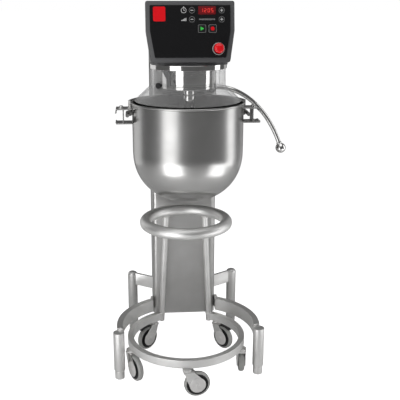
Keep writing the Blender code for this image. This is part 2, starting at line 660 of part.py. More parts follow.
def base():
    for side, label in ((-1, "left"), (1, "right")):
        r, top = FRONT_LEG_R, FRONT_LEG_TOP
        leg = [
            (0, top), (r - 0.003, top), (r, top - 0.003), (r, FOOT_H), (FOOT_R, FOOT_H - 0.001),
            (FOOT_R, 0.002), (FOOT_R - 0.002, 0), (0, 0),
        ]
        turned("front_leg_" + label, leg, SATIN, steps=20, place=(side * FRONT_LEG[0], FRONT_LEG[1], 0))

        r, top = REAR_LEG_R, REAR_LEG_TOP
        leg = [
            (0, top), (0.6 * r, top - 0.002), (0.9 * r, top - 0.007), (r, top - 0.014), (r, FOOT_H),
            (FOOT_R, FOOT_H - 0.001), (FOOT_R, 0.002), (FOOT_R - 0.002, 0), (0, 0),
        ]
        place = (side * REAR_LEG[0], REAR_LEG[1], 0)
        rear = as_mesh(turned("rear_leg_" + label, leg, SATIN, steps=20, place=place))
        root = Vector((side * (COLUMN_W / 2 - 0.005), 0.325))
        tip = Vector((side * REAR_LEG[0], REAR_LEG[1]))
        run = tip - root
        size, place = (run.length, REAR_BAR_T, REAR_BAR_H), (*(root + tip) / 2, REAR_BAR_Z + REAR_BAR_H / 2)
        turn = (0, 0, math.atan2(run.y, run.x))
        bar = box("rear_bar_" + label, size, (0, 0, 0), None, place=place, turn=turn, hidden=True)
        boolean(rear, bar, "UNION")
        size = (COLUMN_W + 2 * GAP, COLUMN_DEPTH, 0.5)
        centre = (0, COLUMN_Y + COLUMN_DEPTH / 2, REAR_BAR_Z)
        boolean(rear, box("column_clear_" + label, size, centre, None, hidden=True))

        x, y = FRONT_LEG
        leg_turn = math.atan2(y - RAIL_Y, x)
        tail_x, tail_y, inner_r, root_x = 0.160, 0.283, RAIL_R - RAIL_T, COLUMN_W / 2 + GAP
        outer = arc(RAIL_R, leg_turn, math.acos(tail_x / RAIL_R), 16, (0, RAIL_Y))
        inner = arc(inner_r, math.acos(root_x / inner_r), leg_turn, 16, (0, RAIL_Y))
        outline = [*outer, (tail_x, tail_y), (root_x, tail_y), *inner]
        outline = [(side * px, py) for px, py in outline]
        name = "side_rail_" + label
        rail = as_mesh(flat(name, [outline], RAIL_H, SATIN, place=(0, 0, RAIL_Z + RAIL_H / 2)))
        name, centre = "leg_clear_" + label, (side * x, y, RAIL_Z)
        boolean(rail, cylinder(name, FRONT_LEG_R + GAP, 0.5, centre, None, sides=20, hidden=True))


def trolley():
    def upright(side, name, radius, hidden):
        low = Vector((*polar(RING_R - RING_W / 2, math.pi / 2 - side * RING_GAP), RING_Z - 0.004))
        high = Vector((*polar(SUPPORT_R, math.pi / 2 - side * UPRIGHT_TURN), SUPPORT_Z))
        return tube(name, [low, high], radius, SATIN, sides=3, parent=TROLLEY, hidden=hidden)

    outer = arc(RING_R, math.pi / 2 + RING_GAP, 5 * math.pi / 2 - RING_GAP, 40)
    inner = arc(RING_R - RING_W, 5 * math.pi / 2 - RING_GAP, math.pi / 2 + RING_GAP, 40)
    place = (0, 0, RING_Z + RING_H / 2)
    ring = as_mesh(flat("lower_ring", [outer + inner], RING_H, SATIN, parent=TROLLEY, place=place))

    def torus(name, tube_r, **kw):
        bpy.ops.mesh.primitive_torus_add(
            major_radius=SUPPORT_R, minor_radius=tube_r, major_segments=36, minor_segments=10
        )
        made = bpy.context.object
        data = made.data
        bpy.data.objects.remove(made)
        return smooth(add(name, data, SATIN, parent=TROLLEY, place=(0, 0, SUPPORT_Z), **kw))

    torus("support_ring", SUPPORT_TUBE)
    clear = torus("support_clear", SUPPORT_TUBE + GAP, hidden=True)
    for side, label in ((-1, "left"), (1, "right")):
        post = as_mesh(upright(side, "upright_" + label, UPRIGHT_R, False))
        boolean(post, clear)
        boolean(ring, as_mesh(upright(side, "upright_clear_" + label, UPRIGHT_R + 2 * GAP, True)))

    for i, (label, turn) in enumerate(zip(CASTER_NAMES, CASTER_TURNS)):
        angle = math.radians(-90 + 72 * i)
        place = (*polar(CASTER_R, angle), 0)
        swivel = empty("swivel_" + label, place, (0, 0, math.radians(turn) - TROLLEY_TURN), TROLLEY)
        caster(label, swivel)


def caster(label, swivel):
    """One swivel caster. In the swivel's frame the wheel trails along +X."""
    top, bridge = RING_Z - GAP, 0.1125
    head = [
        (0, top), (CASTER_HEAD_R, top), (CASTER_HEAD_R, top - 0.005), (0.013, top - 0.008),
        (CASTER_HEAD_R - 0.004, top - 0.012), (CASTER_HEAD_R - 0.004, bridge), (0, bridge),
    ]
    fork = as_mesh(turned("caster_fork_" + label, head, POLISHED, steps=16, parent=swivel))
    place, turn = (CASTER_TRAIL, 0, WHEEL_R), (math.pi / 2, 0, 0)
    size, hide = (0.046, 0.0352, 0.007), {"parent": swivel, "hidden": True}
    boolean(fork, box("bridge_" + label, size, (0.006, 0, bridge + 0.001), None, **hide), "UNION")
    hub_r, cheek_top, cheek_y = 0.034, bridge + 0.002, 0.0165
    cheek = arc(hub_r, math.radians(-155), math.radians(60), 12, (CASTER_TRAIL, WHEEL_R))
    cheek += [(0.028, cheek_top), (-0.015, cheek_top)]
    for side in (-1, 1):
        name = f"cheek_{label}_{side}"
        plate = flat(name, [cheek], 0.003, None, place=(0, side * cheek_y, 0), turn=turn, **hide)
        boolean(fork, as_mesh(plate), "UNION")
    axle = cylinder("axle_" + label, 0.0055, 0.034, place, None, sides=12, axis="Y", **hide)
    boolean(fork, axle, "UNION")
    half, rim, web, boss = WHEEL_W / 2, 0.040, 0.005, 0.0015
    right = [
        (0.0070, half - boss), (0.014, half - boss), (0.016, half - web), (rim - 0.004, half - web),
        (rim, half), (WHEEL_R - 0.003, half - boss), (WHEEL_R, half - 0.007),
    ]
    wheel = right + [(r, -z) for r, z in reversed(right)]
    turned("caster_wheel_" + label, wheel, TYRE, steps=18, closed=True, parent=swivel, place=place, turn=turn)


FACE = empty("panel_frame", PANEL_CENTRE, (math.pi / 2 - PANEL_TILT, 0, 0), FRAME)
LIFT = empty("lift_frame", (0, 0, 0), parent=FRAME)
LEVER = empty("lever_pivot", LEVER_PIVOT, parent=FRAME)
TOOL = empty("tool_axis", (0, -ORBIT, 0), parent=FRAME)
TROLLEY = empty("trolley_frame", TROLLEY_PLACE, (0, 0, TROLLEY_TURN), FRAME)

column()
head()
control_head()
drive()
tool()
bowl()
lift()
lever()
guard()
base()
trolley()
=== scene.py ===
# %% [markdown]
# # A 60 litre stand mixer and its bowl trolley
# The machine is a tall steel column on four legs. A black control head sits on top, a planetary drum and
# its tool hang under it, and two curved arms carry the bowl up and down the column. A lever with a ball
# works the lift, and a trolley on five casters takes the lowered bowl away.
# The solids of all those parts exist already, each on the body that it moves with. This script loads them
# as a fixed frame, gives every surface its finish and makes the fine pieces that the solids leave out.

# %% Load the frame and keep its outline
import json
import math

import bmesh
import bpy
from mathutils import Matrix, Vector

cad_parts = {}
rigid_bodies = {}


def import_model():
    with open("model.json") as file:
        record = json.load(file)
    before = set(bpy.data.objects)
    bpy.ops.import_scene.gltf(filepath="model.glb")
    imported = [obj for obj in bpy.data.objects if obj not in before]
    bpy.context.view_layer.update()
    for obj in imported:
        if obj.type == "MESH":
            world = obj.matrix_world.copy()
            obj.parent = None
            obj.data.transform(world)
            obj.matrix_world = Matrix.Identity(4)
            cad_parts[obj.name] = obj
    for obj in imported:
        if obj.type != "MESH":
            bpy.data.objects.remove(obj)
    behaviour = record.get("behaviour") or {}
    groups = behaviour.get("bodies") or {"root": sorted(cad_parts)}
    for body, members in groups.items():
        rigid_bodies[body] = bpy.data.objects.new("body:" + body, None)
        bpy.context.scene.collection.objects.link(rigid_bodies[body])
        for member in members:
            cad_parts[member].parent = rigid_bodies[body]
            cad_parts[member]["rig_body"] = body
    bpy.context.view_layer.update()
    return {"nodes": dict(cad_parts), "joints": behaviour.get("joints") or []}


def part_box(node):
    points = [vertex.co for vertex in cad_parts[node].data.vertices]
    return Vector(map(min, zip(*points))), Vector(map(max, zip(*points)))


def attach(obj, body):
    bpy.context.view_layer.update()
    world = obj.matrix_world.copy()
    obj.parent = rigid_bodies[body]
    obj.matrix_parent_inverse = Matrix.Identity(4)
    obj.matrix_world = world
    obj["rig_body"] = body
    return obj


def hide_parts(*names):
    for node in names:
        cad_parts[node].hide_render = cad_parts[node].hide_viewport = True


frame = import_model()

scene = bpy.context.scene
joints = {joint["name"]: joint for joint in frame["joints"]}


def middle(node):
    """The centre of a solid's box."""
    low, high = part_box(node)
    return (Vector(low) + Vector(high)) / 2


bowl_axis = middle("bowl")
print("the bowl's axis stands at", tuple(round(c, 4) for c in bowl_axis[:2]))

# %% [markdown]
# ## The camera
# The mixer is looked at from the operator's side, a little from its left, from just above the head and
# through a longish lens, so that upright lines stay nearly upright. A camera looks down its own -Z, so a
# quarter turn about X makes it level, and taking the dip away from that quarter turn makes it look down.

# %% Camera
CAMERA_OFFSET, CAMERA_HEIGHT = (-0.2135, -2.9012), 1.6073
CAMERA_DIP, CAMERA_PAN = math.radians(15.815), math.radians(-4.208)
LENS, SHIFT = 64.15, 0.0303

camera = bpy.data.objects.new("camera", bpy.data.cameras.new("camera"))
scene.collection.objects.link(camera)
scene.camera = camera
camera.location = (bowl_axis.x + CAMERA_OFFSET[0], bowl_axis.y + CAMERA_OFFSET[1], CAMERA_HEIGHT)
camera.rotation_euler = (math.pi / 2 - CAMERA_DIP, 0, CAMERA_PAN)
camera.data.lens, camera.data.shift_x = LENS, SHIFT
print("camera stands", round(abs(CAMERA_OFFSET[1]), 2), "m in front of the bowl")

# %% [markdown]
# ## Finishes
# Nearly everything is stainless steel, so the finishes differ mostly in how the steel was worked; the rings'
# and legs' steel is given a lighter tone, painted light that stands in for the bright floor they reflect.
# Each finish is one Principled shader. Its roughness, its bump and a little of its colour come from noise
# that is stretched along the way the abrasive ran. One helper makes that noise, so that every finish states
# only its own numbers. The noise reads object coordinates: the pieces keep their places in their meshes, so
# a stretch of 1 across and 300 down draws level lines, 3 mm apart or finer, wherever the piece is.


def new_finish(name, colour, roughness, metallic=0.0):
    """A Principled material with plain values, ready for its noise."""
    finish = bpy.data.materials.new(name)
    finish.use_nodes = True
    shader = finish.node_tree.nodes["Principled BSDF"]
    shader.inputs["Base Color"].default_value = (*colour, 1)
    shader.inputs["Roughness"].default_value = roughness
    shader.inputs["Metallic"].default_value = metallic
    return finish, shader


def noise(finish, scale, stretch=(1, 1, 1), detail=3.0):
    """Noise over the object, in waves to the metre, stretched along the axes."""
    nodes, links = finish.node_tree.nodes, finish.node_tree.links
    place = nodes.new("ShaderNodeTexCoord")
    mapping = nodes.new("ShaderNodeMapping")
    mapping.inputs["Scale"].default_value = stretch
    made = nodes.new("ShaderNodeTexNoise")
    made.inputs["Scale"].default_value = scale
    made.inputs["Detail"].default_value = detail
    links.new(place.outputs["Object"], mapping.inputs["Vector"])
    links.new(mapping.outputs["Vector"], made.inputs["Vector"])
    return made.outputs["Fac"]


def spread(finish, value, low, high, target):
    """Sends noise, widened to run from low to high, to a socket of the shader."""
    nodes, links = finish.node_tree.nodes, finish.node_tree.links
    made = nodes.new("ShaderNodeMapRange")
    made.inputs["From Min"].default_value, made.inputs["From Max"].default_value = 0.3, 0.7
    made.inputs["To Min"].default_value, made.inputs["To Max"].default_value = low, high
    links.new(value, made.inputs["Value"])
    links.new(made.outputs["Result"], target)


def tint(finish, value, dark, light, target):
    """Sends noise to a colour socket, as a mix of a dark and a light tone."""
    nodes, links = finish.node_tree.nodes, finish.node_tree.links
    made = nodes.new("ShaderNodeValToRGB")
    made.color_ramp.elements[0].position, made.color_ramp.elements[1].position = 0.32, 0.68
    made.color_ramp.elements[0].color, made.color_ramp.elements[1].color = (*dark, 1), (*light, 1)
    links.new(value, made.inputs["Fac"])
    links.new(made.outputs["Color"], target)


def bump(finish, value, strength, depth, shader):
    """Raises the surface by the noise, at most by depth metres."""
    nodes, links = finish.node_tree.nodes, finish.node_tree.links
    made = nodes.new("ShaderNodeBump")
    made.inputs["Strength"].default_value, made.inputs["Distance"].default_value = strength, depth
    links.new(value, made.inputs["Height"])
    links.new(made.outputs["Normal"], shader.inputs["Normal"])


# %% [markdown]
# ### Steel
# The column, legs and rings are ground with a belt, so they are satin, with the lines along the piece. The
# bowl is brushed while it turns, so its lines are level rings, and a light is drawn out into an upright
# band: that is what anisotropy with a tangent round the upright axis does. The drum, the tool shaft, the
# lever and the caster forks are polished, and show only faint smears.


# %% Steel finishes
def steel(name, tone, roughness, stretch, lines=1.0, anisotropy=0.0):
    """Worked steel: fine stretched lines over slow, cloudy wear."""
    low, high = roughness
    finish, shader = new_finish(name, [tone] * 3, low, 1.0)
    fine = noise(finish, 1.0, stretch, 4.0)
    cloud = noise(finish, 9.0)
    spread(finish, fine, low, high, shader.inputs["Roughness"])
    dark, light = tone * 0.93, min(tone * 1.05, 0.95)
    tint(finish, cloud, (dark, dark * 0.995, dark * 0.98), (light, light * 0.995, light * 0.985),
         shader.inputs["Base Color"])
    bump(finish, fine, 0.25 * lines, 0.0002, shader)
    if anisotropy:
        shader.inputs["Anisotropic"].default_value = anisotropy
        tangent = finish.node_tree.nodes.new("ShaderNodeTangent")
        tangent.direction_type, tangent.axis = "RADIAL", "Z"
        finish.node_tree.links.new(tangent.outputs["Tangent"], shader.inputs["Tangent"])
    return finish


bowl_steel = steel("bowl_steel", 0.52, (0.19, 0.27), (3, 3, 1400), 0.4, 0.75)
column_steel = steel("column_steel", 0.50, (0.30, 0.42), (500, 500, 5))
# The rings and the legs get a lighter tone than the other steel: painted light, standing in for the bright
# floor that these low parts reflect.
ring_steel_painted_bright = steel("ring_steel_painted_bright", 0.80, (0.42, 0.54), (10, 10, 700), 0.6)
leg_steel_painted_bright = steel("leg_steel_painted_bright", 0.78, (0.40, 0.52), (8, 8, 700), 0.6)
arm_steel = steel("arm_steel", 0.62, (0.24, 0.34), (12, 12, 700), 0.5)
polished_steel = steel("polished_steel", 0.78, (0.05, 0.11), (30, 30, 60), 0.15)
lever_steel = steel("lever_steel", 0.74, (0.10, 0.18), (60, 400, 60), 0.3)

# %% [markdown]
# ### Paint, plastic, rubber and ink
# The head's housing is powder coated, which is matt with a skin like an orange's. The control face is a
# glossy black film, and its keys are the same film over a dome, so they shine alike. Tyres are grey rubber,
# a little uneven in tone. The guard is clear sheet: it lets light through, and a Layer Weight node makes its
# near-white colour more solid where it is seen edge on, a painted reflection for the sheet's glancing shine.


# %% Paints, plastics and rubber
def coated(name, colour, roughness, grain, depth, variation=0.12, metallic=0.0):
    """A paint, plastic or rubber with a fine skin and a little unevenness in tone."""
    finish, shader = new_finish(name, colour, roughness, metallic)
    skin = noise(finish, grain, detail=2.0)
    cloud = noise(finish, 14.0)
    spread(finish, cloud, roughness * 0.88, min(roughness * 1.15, 1.0), shader.inputs["Roughness"])
    dark = [c * (1 - variation) for c in colour]
    light = [min(c * (1 + variation), 1.0) for c in colour]
    tint(finish, skin, dark, light, shader.inputs["Base Color"])
    bump(finish, skin, 0.3, depth, shader)
    return finish


head_paint = coated("head_paint", (0.105, 0.106, 0.110), 0.42, 900, 0.0001)
black_film = coated("black_film", (0.010, 0.010, 0.011), 0.16, 260, 0.00002)
key_film = coated("key_film", (0.016, 0.016, 0.017), 0.26, 500, 0.00003)
red_film = coated("red_film", (0.20, 0.006, 0.010), 0.30, 500, 0.00003, 0.06)
red_knob = coated("red_knob", (0.93, 0.008, 0.016), 0.16, 350, 0.00003, 0.05)
black_nylon = coated("black_nylon", (0.018, 0.018, 0.019), 0.48, 900, 0.0001)
grey_rubber = coated("grey_rubber", (0.36, 0.36, 0.35), 0.55, 700, 0.0001)
hub_zinc = coated("hub_zinc", (0.72, 0.71, 0.70), 0.45, 400, 0.0001, 0.05, 0.6)
cast_iron = coated("cast_iron", (0.20, 0.20, 0.20), 0.58, 420, 0.0004, 0.25, 0.7)
belt_rubber = coated("belt_rubber", (0.024, 0.024, 0.024), 0.82, 800, 0.0002)
white_ink = coated("white_ink", (0.80, 0.80, 0.80), 0.40, 800, 0.00001, 0.05)
grey_ink = coated("grey_ink", (0.24, 0.24, 0.24), 0.40, 800, 0.00001, 0.05)
green_ink = coated("green_ink", (0.06, 0.78, 0.10), 0.38, 800, 0.00001, 0.08)

# %% Clear sheet and the lit display
GUARD_SOLID, GUARD_EDGE_SHEEN = 0.03, 0.42

clear_sheet, shader = new_finish("clear_sheet", (0.95, 0.95, 0.95), 0.06)
# Edge on, the sheet turns more solid and near white: painted reflection, standing in for its stronger shine
# at a glancing view.
facing = clear_sheet.node_tree.nodes.new("ShaderNodeLayerWeight")
facing.inputs["Blend"].default_value = 0.35
solid = clear_sheet.node_tree.nodes.new("ShaderNodeMapRange")
solid.inputs["To Min"].default_value, solid.inputs["To Max"].default_value = GUARD_SOLID, GUARD_EDGE_SHEEN
clear_sheet.node_tree.links.new(facing.outputs["Facing"], solid.inputs["Value"])
clear_sheet.node_tree.links.new(solid.outputs["Result"], shader.inputs["Alpha"])
bump(clear_sheet, noise(clear_sheet, 6.0), 0.1, 0.0005, shader)
clear_sheet.surface_render_method = "BLENDED"

lit_red, shader = new_finish("lit_red", (0.9, 0.05, 0.03), 0.4)
shader.inputs["Emission Color"].default_value = (1.0, 0.04, 0.04, 1)
shader.inputs["Emission Strength"].default_value = 0.6
tint(lit_red, noise(lit_red, 300.0), (0.7, 0.03, 0.02), (1.0, 0.08, 0.05), shader.inputs["Base Color"])
print("the guard is", GUARD_SOLID, "solid face on and", GUARD_EDGE_SHEEN, "edge on")

# %% [markdown]
# ## Four ways to make a piece
# Most pieces here are one of four things: a profile turned about an axis, a flat outline with thickness, a
# round bar along a line, or a solid of the frame whose hard edges get a small radius. Each way is a helper
# of a few lines. A mesh takes its place before it becomes an object, so every object sits at the origin,
# as the solids do, and its noise lines up with theirs.


# %% Hang a piece on its body
def hang(name, data, finish, body, stands_for=()):
    """Makes the object, gives it its finish, lets it ride on a body and stand for solids of the frame."""
    made = bpy.data.objects.new(name, data)
    scene.collection.objects.link(made)
    data.materials.clear()
    data.materials.append(finish)
    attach(made, body)
    if stands_for:
        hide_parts(*stands_for)
    return made


def mesh_from(name, build, place=None):
    """A mesh filled by build(bm), smooth but for its sharp edges, and moved to its place."""
    data = bpy.data.meshes.new(name)
    bm = bmesh.new()
    build(bm)
    bmesh.ops.remove_doubles(bm, verts=bm.verts, dist=1e-6)
    bmesh.ops.recalc_face_normals(bm, faces=bm.faces)
    bm.to_mesh(data)
    bm.free()
    data.transform(place or Matrix())
    data.shade_smooth()
    data.set_sharp_from_angle(angle=math.radians(32))
    return data


def at(*place):
    return Matrix.Translation(Vector(place))


# %% Turned pieces
def eased(corners, radius, closed=False, count=3):
    """The same line with every corner turned into a short curve of about that radius."""
    points = [Vector(corner) for corner in corners]
    made, last = [], len(points) - 1
    for i, here in enumerate(points):
        if not closed and i in (0, last):
            made.append(tuple(here))
            continue
        back, ahead = points[i - 1] - here, points[(i + 1) % len(points)] - here
        reach = min(radius, 0.45 * back.length, 0.45 * ahead.length)
        first, second = here + back.normalized() * reach, here + ahead.normalized() * reach
        for step in range(count + 1):
            t = step / count
            made.append(tuple(first * (1 - t) ** 2 + here * 2 * t * (1 - t) + second * t * t))
    return made


def turned(name, profile, place, steps=96, start=0.0, sweep=2 * math.pi, closed=False):
    """A profile of (radius, height) points spun about Z. Part of a turn gets flat ends."""
    whole = sweep >= 2 * math.pi - 1e-6

    def build(bm):
        verts = [bm.verts.new((r * math.cos(start), r * math.sin(start), z)) for r, z in profile]
        ring = list(zip(verts, verts[1:])) + ([(verts[-1], verts[0])] if closed else [])
        geom = [bm.edges.new(pair) for pair in ring] + verts
        if closed and not whole:
            geom.append(bm.faces.new(verts))
        bmesh.ops.spin(bm, geom=geom, cent=(0, 0, 0), axis=(0, 0, 1), angle=sweep, steps=steps,
                       use_merge=whole, use_duplicate=False)

    return mesh_from(name, build, place)


# %% Flat pieces
def arc(radius, start, end, count, centre=(0, 0)):
    """Points along an arc, angles in degrees."""
    turns = [math.radians(start + (end - start) * i / count) for i in range(count + 1)]
    return [(centre[0] + radius * math.cos(t), centre[1] + radius * math.sin(t)) for t in turns]


def oblong(width, height, radius, centre=(0, 0), count=6):
    """A rectangle with round corners."""
    x, y, made = width / 2 - radius, height / 2 - radius, []
    for i, (sx, sy) in enumerate(((1, 1), (-1, 1), (-1, -1), (1, -1))):
        made += arc(radius, 90 * i, 90 * i + 90, count, (centre[0] + sx * x, centre[1] + sy * y))
    return made


def plate(name, outline, low, high, place):
    """An outline with thickness, from height low to height high."""

    def build(bm):
        face = bm.faces.new([bm.verts.new((x, y, low)) for x, y in outline])
        grown = bmesh.ops.extrude_face_region(bm, geom=[face])["geom"]
        bmesh.ops.translate(bm, verts=[v for v in grown if isinstance(v, bmesh.types.BMVert)],
                            vec=(0, 0, high - low))

    return mesh_from(name, build, place)


def band(name, outer, inner, low, high, place):
    """A closed loop between two outlines that have the same number of points."""

    def build(bm):
        rows = [[bm.verts.new((x, y, z)) for x, y in line]
                for line, z in ((outer, low), (outer, high), (inner, high), (inner, low))]
        count = len(outer)
        for a, b in zip(rows, rows[1:] + rows[:1]):
            for i in range(count):
                bm.faces.new((a[i], a[(i + 1) % count], b[(i + 1) % count], b[i]))

    return mesh_from(name, build, place)


# %% Round bars, and small radii on hard edges
def bar(name, points, radius, sides=8):
    """A round bar along the points, as a curve with a bevel."""
    data = bpy.data.curves.new(name, "CURVE")
    data.dimensions, data.bevel_depth, data.bevel_resolution = "3D", radius, sides
    data.use_fill_caps = True
    line = data.splines.new("POLY")
    line.points.add(len(points) - 1)
    for point, place in zip(line.points, points):
        point.co = (*place, 1)
    return data


def radius_edges(piece, width, segments=2):
    """Breaks the hard edges, and keeps the flats flat."""
    edge = piece.modifiers.new("edge", "BEVEL")
    edge.width, edge.segments, edge.limit_method = width, segments, "ANGLE"
    edge.angle_limit = math.radians(32)
    piece.modifiers.new("flats", "WEIGHTED_NORMAL").keep_sharp = True
    return piece


def refined(node, finish, edge=0.0, name=None):
    """A solid of the frame with its flat faces joined up, its edges broken and its finish on."""
    source = frame["nodes"][node]

    def build(bm):
        bm.from_mesh(source.data)
        bmesh.ops.remove_doubles(bm, verts=bm.verts, dist=1e-5)
        bmesh.ops.dissolve_limit(bm, angle_limit=math.radians(0.6), verts=bm.verts, edges=bm.edges)

    made = hang(name or node + "_finished", mesh_from(node, build), finish, source["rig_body"], (node,))
    return radius_edges(made, edge) if edge else made


# %% [markdown]
# ## The bowl
# A mixing bowl is spun from one disc of steel. It has a straight band, a belly that closes to a small round
# bottom, and a rim rolled over a wire. A superellipse gives the belly in one formula: its power, a little
# over 2, makes the shoulder fuller than a ball's. The inside is the same line, one wall thickness in.

# %% Bowl
WALL, RIM_WIRE, RIM_STEP, BELT, FULLNESS = 0.0025, 0.0042, 0.0005, 0.200, 2.2

low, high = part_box("bowl")
bowl_radius = (high[0] - low[0]) / 2 - RIM_WIRE - RIM_STEP
belt_height = high[2] - BELT


def belly(inset, count=40):
    """From the belt line down to the middle of the bottom."""
    made, deep = [], belt_height - low[2] - inset
    for i in range(count + 1):
        turn = math.pi / 2 * i / count
        across = (bowl_radius - inset) * max(math.cos(turn), 0) ** (2 / FULLNESS)
        made.append((across if i < count else 0, belt_height - deep * math.sin(turn) ** (2 / FULLNESS)))
    return made


rim_centre = (bowl_radius + RIM_STEP, high[2] - RIM_WIRE)
rim = arc(RIM_WIRE, 180, -95, 18, rim_centre)
neck = [(bowl_radius - WALL, rim_centre[1] - 0.004)]
under_rim = [(bowl_radius + 0.0004, rim_centre[1] - 0.0065), (bowl_radius, rim_centre[1] - 0.009)]
profile = list(reversed(belly(WALL))) + neck + rim + under_rim + belly(0)
on_bowl_axis = at(bowl_axis.x, bowl_axis.y, 0)
hang("bowl_spun", turned("bowl_spun", profile, on_bowl_axis, 160), bowl_steel, "lift", ("bowl",))
print("bowl:", round(2000 * bowl_radius), "mm across,", round(1000 * (high[2] - low[2])), "mm deep")

# %% [markdown]
# ## The arms and the bowl's brackets
# Two arms, rolled from flat bar, reach round the bowl from the column. Pins on the arms stand up through a
# folded bracket on each side of the bowl. Their solids have the right shape, so they are only refined. The
# pin's end and the washer under it are small turned pieces of their own.

# %% Arms, brackets and pins
PIN_RADIUS, PIN_OUT, WASHER_RADIUS, FROM_END = 0.0068, 0.047, 0.0105, 0.014

for side, label in ((-1, "left"), (1, "right")):
    refined("bowl_arm_" + label, arm_steel, 0.0012)
    refined("bowl_bracket_" + label, arm_steel, 0.0009)
    low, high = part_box("bowl_bracket_" + label)
    inner_x = low[0] if side > 0 else high[0]
    profile = eased([(0, 0.0), (PIN_RADIUS, 0.0), (PIN_RADIUS, -0.004), (WASHER_RADIUS, -0.004),
                     (WASHER_RADIUS, -0.006), (0, -0.006)], 0.0012)
    for i, y in enumerate((low[1] + FROM_END, high[1] - FROM_END)):
        place = at(inner_x + side * PIN_OUT, y, high[2] + 0.006)
        hang(f"bracket_pin_{label}_{i}", turned("pin", profile, place, 32), polished_steel, "lift")
print("bracket pins:", round(2000 * PIN_RADIUS, 1), "mm across")

# %% [markdown]
# ## The planetary drum and the tool
# The drum is a polished cup that turns under the head and carries the tool's shaft off its centre. A thin
# groove and a rolled lower edge break its mirror. The shaft's end is a socket for the tools: it has a slot,
# and a cross pin that the tool's stem locks behind.

# %% Drum
low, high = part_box("planet_drum")
drum_radius = (high[0] - low[0]) / 2
profile = eased([(0, low[2]), (drum_radius, low[2]), (drum_radius, low[2] + 0.010),
                 (drum_radius - 0.0012, low[2] + 0.0105), (drum_radius - 0.0012, low[2] + 0.0125),
                 (drum_radius, low[2] + 0.013), (drum_radius, high[2]), (drum_radius - 0.0065, high[2]),
                 (drum_radius - 0.0065, low[2] + 0.012), (0, low[2] + 0.012)], 0.0022)
hang("drum_polished", turned("drum", profile, on_bowl_axis, 160), polished_steel, "drum", ("planet_drum",))
print("drum:", round(2000 * drum_radius), "mm across")

# %% Tool shaft, its slot and its pin
low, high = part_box("beater_shaft")
tool_axis = middle("beater_shaft")
shaft_radius = (high[0] - low[0]) / 2
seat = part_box("planet_drum")[0][2] - 0.0005
profile = eased([(0, high[2]), (0.012, high[2]), (0.012, seat), (shaft_radius, seat),
                 (shaft_radius, seat - 0.020), (shaft_radius - 0.0010, seat - 0.021),
                 (shaft_radius - 0.0010, seat - 0.024), (shaft_radius, seat - 0.025),
                 (shaft_radius, low[2]), (0, low[2])], 0.0018)
on_tool_axis = at(tool_axis.x, tool_axis.y, 0)
hang("tool_shaft", turned("shaft", profile, on_tool_axis, 72), polished_steel, "tool", ("beater_shaft",))

SLOT_TURN, SLOT_HEIGHT = math.radians(-62), 1.186
slot_place = on_tool_axis @ at(0, 0, SLOT_HEIGHT) @ Matrix.Rotation(SLOT_TURN, 4, "Z")
slot_place = slot_place @ at(shaft_radius - 0.0016, 0, 0) @ Matrix.Rotation(math.pi / 2, 4, "Y")
# The slot is a black plate on the shaft: painted shade for the dark inside of the cut.
hang("tool_slot_shade", plate("slot", oblong(0.030, 0.0085, 0.0042), 0, 0.0019, slot_place), black_nylon, "tool")
profile = eased([(0, 0.006), (0.0036, 0.006), (0.0036, 0), (0, 0)], 0.001)
pin_place = slot_place @ at(-0.006, 0, 0.0005)
hang("tool_pin", turned("tool_pin", profile, pin_place, 24), polished_steel, "tool")
refined("beater", ring_steel_painted_bright, 0.0030)
print("tool shaft:", round(2000 * shaft_radius), "mm across")

# %% [markdown]
# ## The splash guard
# A clear collar and skirt in two nested sections hang from a steel ring under the head. The front section
# turns round the bowl's axis to open. The sheet is a turned profile that stops short of a full turn, and
# its free edges get a radius, because an edge is where clear sheet catches the light.

# %% Guard sections
SHEET, STEP = 0.0020, 0.0036

low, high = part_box("guard_front")
lip_radius = bowl_axis.x - low[0] - SHEET
GUARD_NECK_RADIUS, NECK_HEIGHT = 0.1511, high[2] - 0.0697


def guard_profile(offset):
    collar, lip = GUARD_NECK_RADIUS + offset, lip_radius + offset
    neck = NECK_HEIGHT + offset / 2
    outer = [(collar + SHEET, high[2]), (collar + SHEET, neck), (lip + SHEET, low[2])]
    inner = [(lip - 0.0006, low[2]), (collar, neck + 0.0008), (collar, high[2])]
    return eased(outer + inner, 0.0018, closed=True, count=3)


for name, offset, start, sweep in (("guard_rear", -STEP, 22, 136), ("guard_front", 0, 152, 236)):
    sheet = turned(name, guard_profile(offset), on_bowl_axis, round(sweep / 3), math.radians(start),
                   math.radians(sweep), closed=True)
    body = frame["nodes"][name]["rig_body"]
    radius_edges(hang(name + "_sheet", sheet, clear_sheet, body, (name,)), 0.0006)
refined("guard_ring", polished_steel, 0.0008)
refined("guard_hanger", head_paint, 0.0008)
print("guard:", round(2000 * (lip_radius + SHEET)), "mm across at its lip")

# %% Guard knob and the hanger's two screws
knob = middle("guard_knob")
turn = math.atan2(knob.y - bowl_axis.y, knob.x - bowl_axis.x)
place = at(*knob) @ Matrix.Rotation(turn, 4, "Z") @ Matrix.Rotation(math.pi / 2, 4, "Y")
profile = eased([(0, 0.011), (0.0115, 0.011), (0.0115, 0.001), (0.006, -0.004), (0.006, -0.011), (0, -0.011)],
                0.002)
hang("guard_knob_turned", turned("knob", profile, place, 40), black_nylon, "guard", ("guard_knob",))
print("the knob stands", round(math.degrees(turn) % 360), "degrees round the collar")


